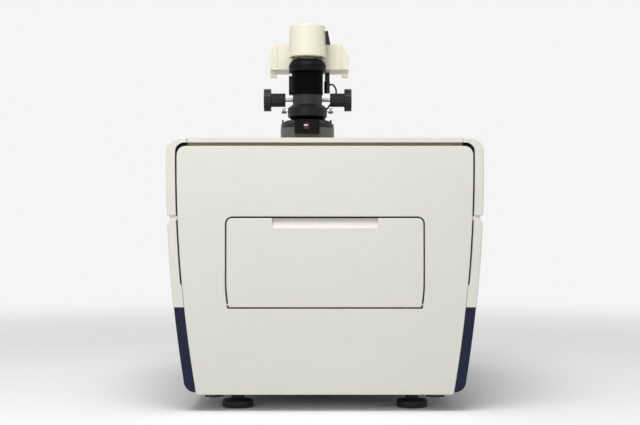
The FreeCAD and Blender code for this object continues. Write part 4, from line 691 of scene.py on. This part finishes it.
# %% Thumb screw knurls
THUMB_FROM_AXIS, THUMB_Z = 0.0520, 0.613
KNURL_SIDES, KNURL_RADIUS, KNURL_LENGTH = 40, 0.0059, 0.0088
KNURL_RIM, LAND_EDGE, GROOVE_DEPTH = 0.0008, 0.00012, 0.0003
dull_steel = finish("dull_steel", colour(150, 150, 146), colour(118, 118, 114), 0.34, grain=0.1,
                    grains=3000, patches=90, Metallic=0.85)


def in_groove(at, facing):
    """True for every other side of the ring."""
    turned = math.degrees(math.atan2(facing.y, facing.z)) / (360 / KNURL_SIDES)
    return abs(facing.x) < 0.1 and round(turned - 0.5) % 2 == 0


for side, name in ((-1, "left"), (1, "right")):
    ring = begin("thumb_knurl_" + name, bpy.ops.mesh.primitive_cylinder_add,
                 vertices=KNURL_SIDES, radius=KNURL_RADIUS, depth=KNURL_LENGTH,
                 location=(TOWER_X + side * THUMB_FROM_AXIS, TOWER_Y, THUMB_Z),
                 rotation=(0, math.radians(90), 0))
    choose("faces", lambda at, facing: abs(facing.x) > 0.9)
    bpy.ops.mesh.inset(thickness=KNURL_RIM)
    choose("faces", in_groove)
    bpy.ops.mesh.inset(thickness=LAND_EDGE, use_individual=True)
    bpy.ops.transform.shrink_fatten(value=-GROOVE_DEPTH)
    finished(ring, "chrome", "thumb_screw_" + name, dull_steel)

# %% [markdown]
# Two columns of screws hold the rear panel, and a bolt holds each end of the two lifting
# brackets under the front edge. A rear screw is modelled standing on the floor, turned over to
# face the back, and carried to its place. With no window, this operator turns the other way,
# so the angle has its sign reversed.

# %% Rear screws and bracket bolts
REAR_X, REAR_Y, REAR_Z = -0.272, 0.3829, 0.075
REAR_APART, REAR_PITCH, REAR_ROWS = 0.544, 0.14, 4
BOLT_PLACE, BOLTS_APART, BRACKETS_APART = (-0.226, -0.360, 0.0258), 0.025, 0.427

rear = screw_head("rear_panel_screws", (REAR_X, 0, 0), radius=0.0042, height=0.0022, up=1)
bpy.ops.mesh.select_all(action="SELECT")
bpy.ops.transform.rotate(value=math.radians(90), orient_axis="X", center_override=(REAR_X, 0, 0))
bpy.ops.transform.translate(value=(0, REAR_Y, REAR_Z))
repeat(rear, [(column * REAR_APART, 0, row * REAR_PITCH)
              for column in (0, 1) for row in range(REAR_ROWS) if column or row])
finished(rear, "steel", "enclosure")
bolts = screw_head("bracket_bolts", BOLT_PLACE, radius=0.0040, height=0.0018)
repeat(bolts, [(x, 0, 0) for x in (BOLTS_APART, BRACKETS_APART, BRACKETS_APART + BOLTS_APART)])
finished(bolts, "steel", "enclosure")

# %% [markdown]
# Microscope objectives carry a coloured ring that tells their power, and a small coated front
# lens. Each objective is a little shorter than the one before, so the lenses follow the packed
# noses. Rings and lenses ride on the turret and turn with it.

# %% Objective rings and lenses
OBJECTIVE_CIRCLE = 0.034
RING_Z, RING_RADIUS, RING_HEIGHT, RING_RIM = 0.266, 0.0138, 0.0032, 0.0004
LENS_Z, LENS_RADIUS, LENS_HEIGHT, LENS_RIM = 0.2986, 0.0051, 0.0016, 0.0018
NOSE_STEP, LENS_CROWN = 0.003, 0.0004
DARKER = 0.9
RING_COLOURS = {"yellow": (226, 186, 30), "green": (60, 140, 70), "blue": (70, 130, 190),
                "white": (225, 225, 222)}
for number, (name, tone) in enumerate(RING_COLOURS.items()):
    angle = math.radians(360 / len(RING_COLOURS) * number)
    x = TOWER_X + OBJECTIVE_CIRCLE * math.sin(angle)
    y = TOWER_Y - OBJECTIVE_CIRCLE + OBJECTIVE_CIRCLE * math.cos(angle)
    band = begin("objective_ring_" + name, bpy.ops.mesh.primitive_cylinder_add, vertices=48,
                 radius=RING_RADIUS, depth=RING_HEIGHT, location=(x, y, RING_Z))
    choose("faces", lambda at, facing: abs(facing.z) > 0.9)
    bpy.ops.mesh.inset(thickness=RING_RIM)
    darker = tuple(int(part * DARKER) for part in tone)
    finished(band, "black_anodised", "turret",
             finish("ring_paint_" + name, colour(*tone), colour(*darker), 0.35, grain=0.03))
    front = begin("objective_lens_" + name, bpy.ops.mesh.primitive_cylinder_add, vertices=32,
                  radius=LENS_RADIUS, depth=LENS_HEIGHT,
                  location=(x, y, LENS_Z - NOSE_STEP * number))
    choose("faces", lambda at, facing: facing.z > 0.9)
    bpy.ops.mesh.inset(thickness=LENS_RIM)
    bpy.ops.transform.translate(value=(0, 0, LENS_CROWN))
    finished(front, "glass", "turret")
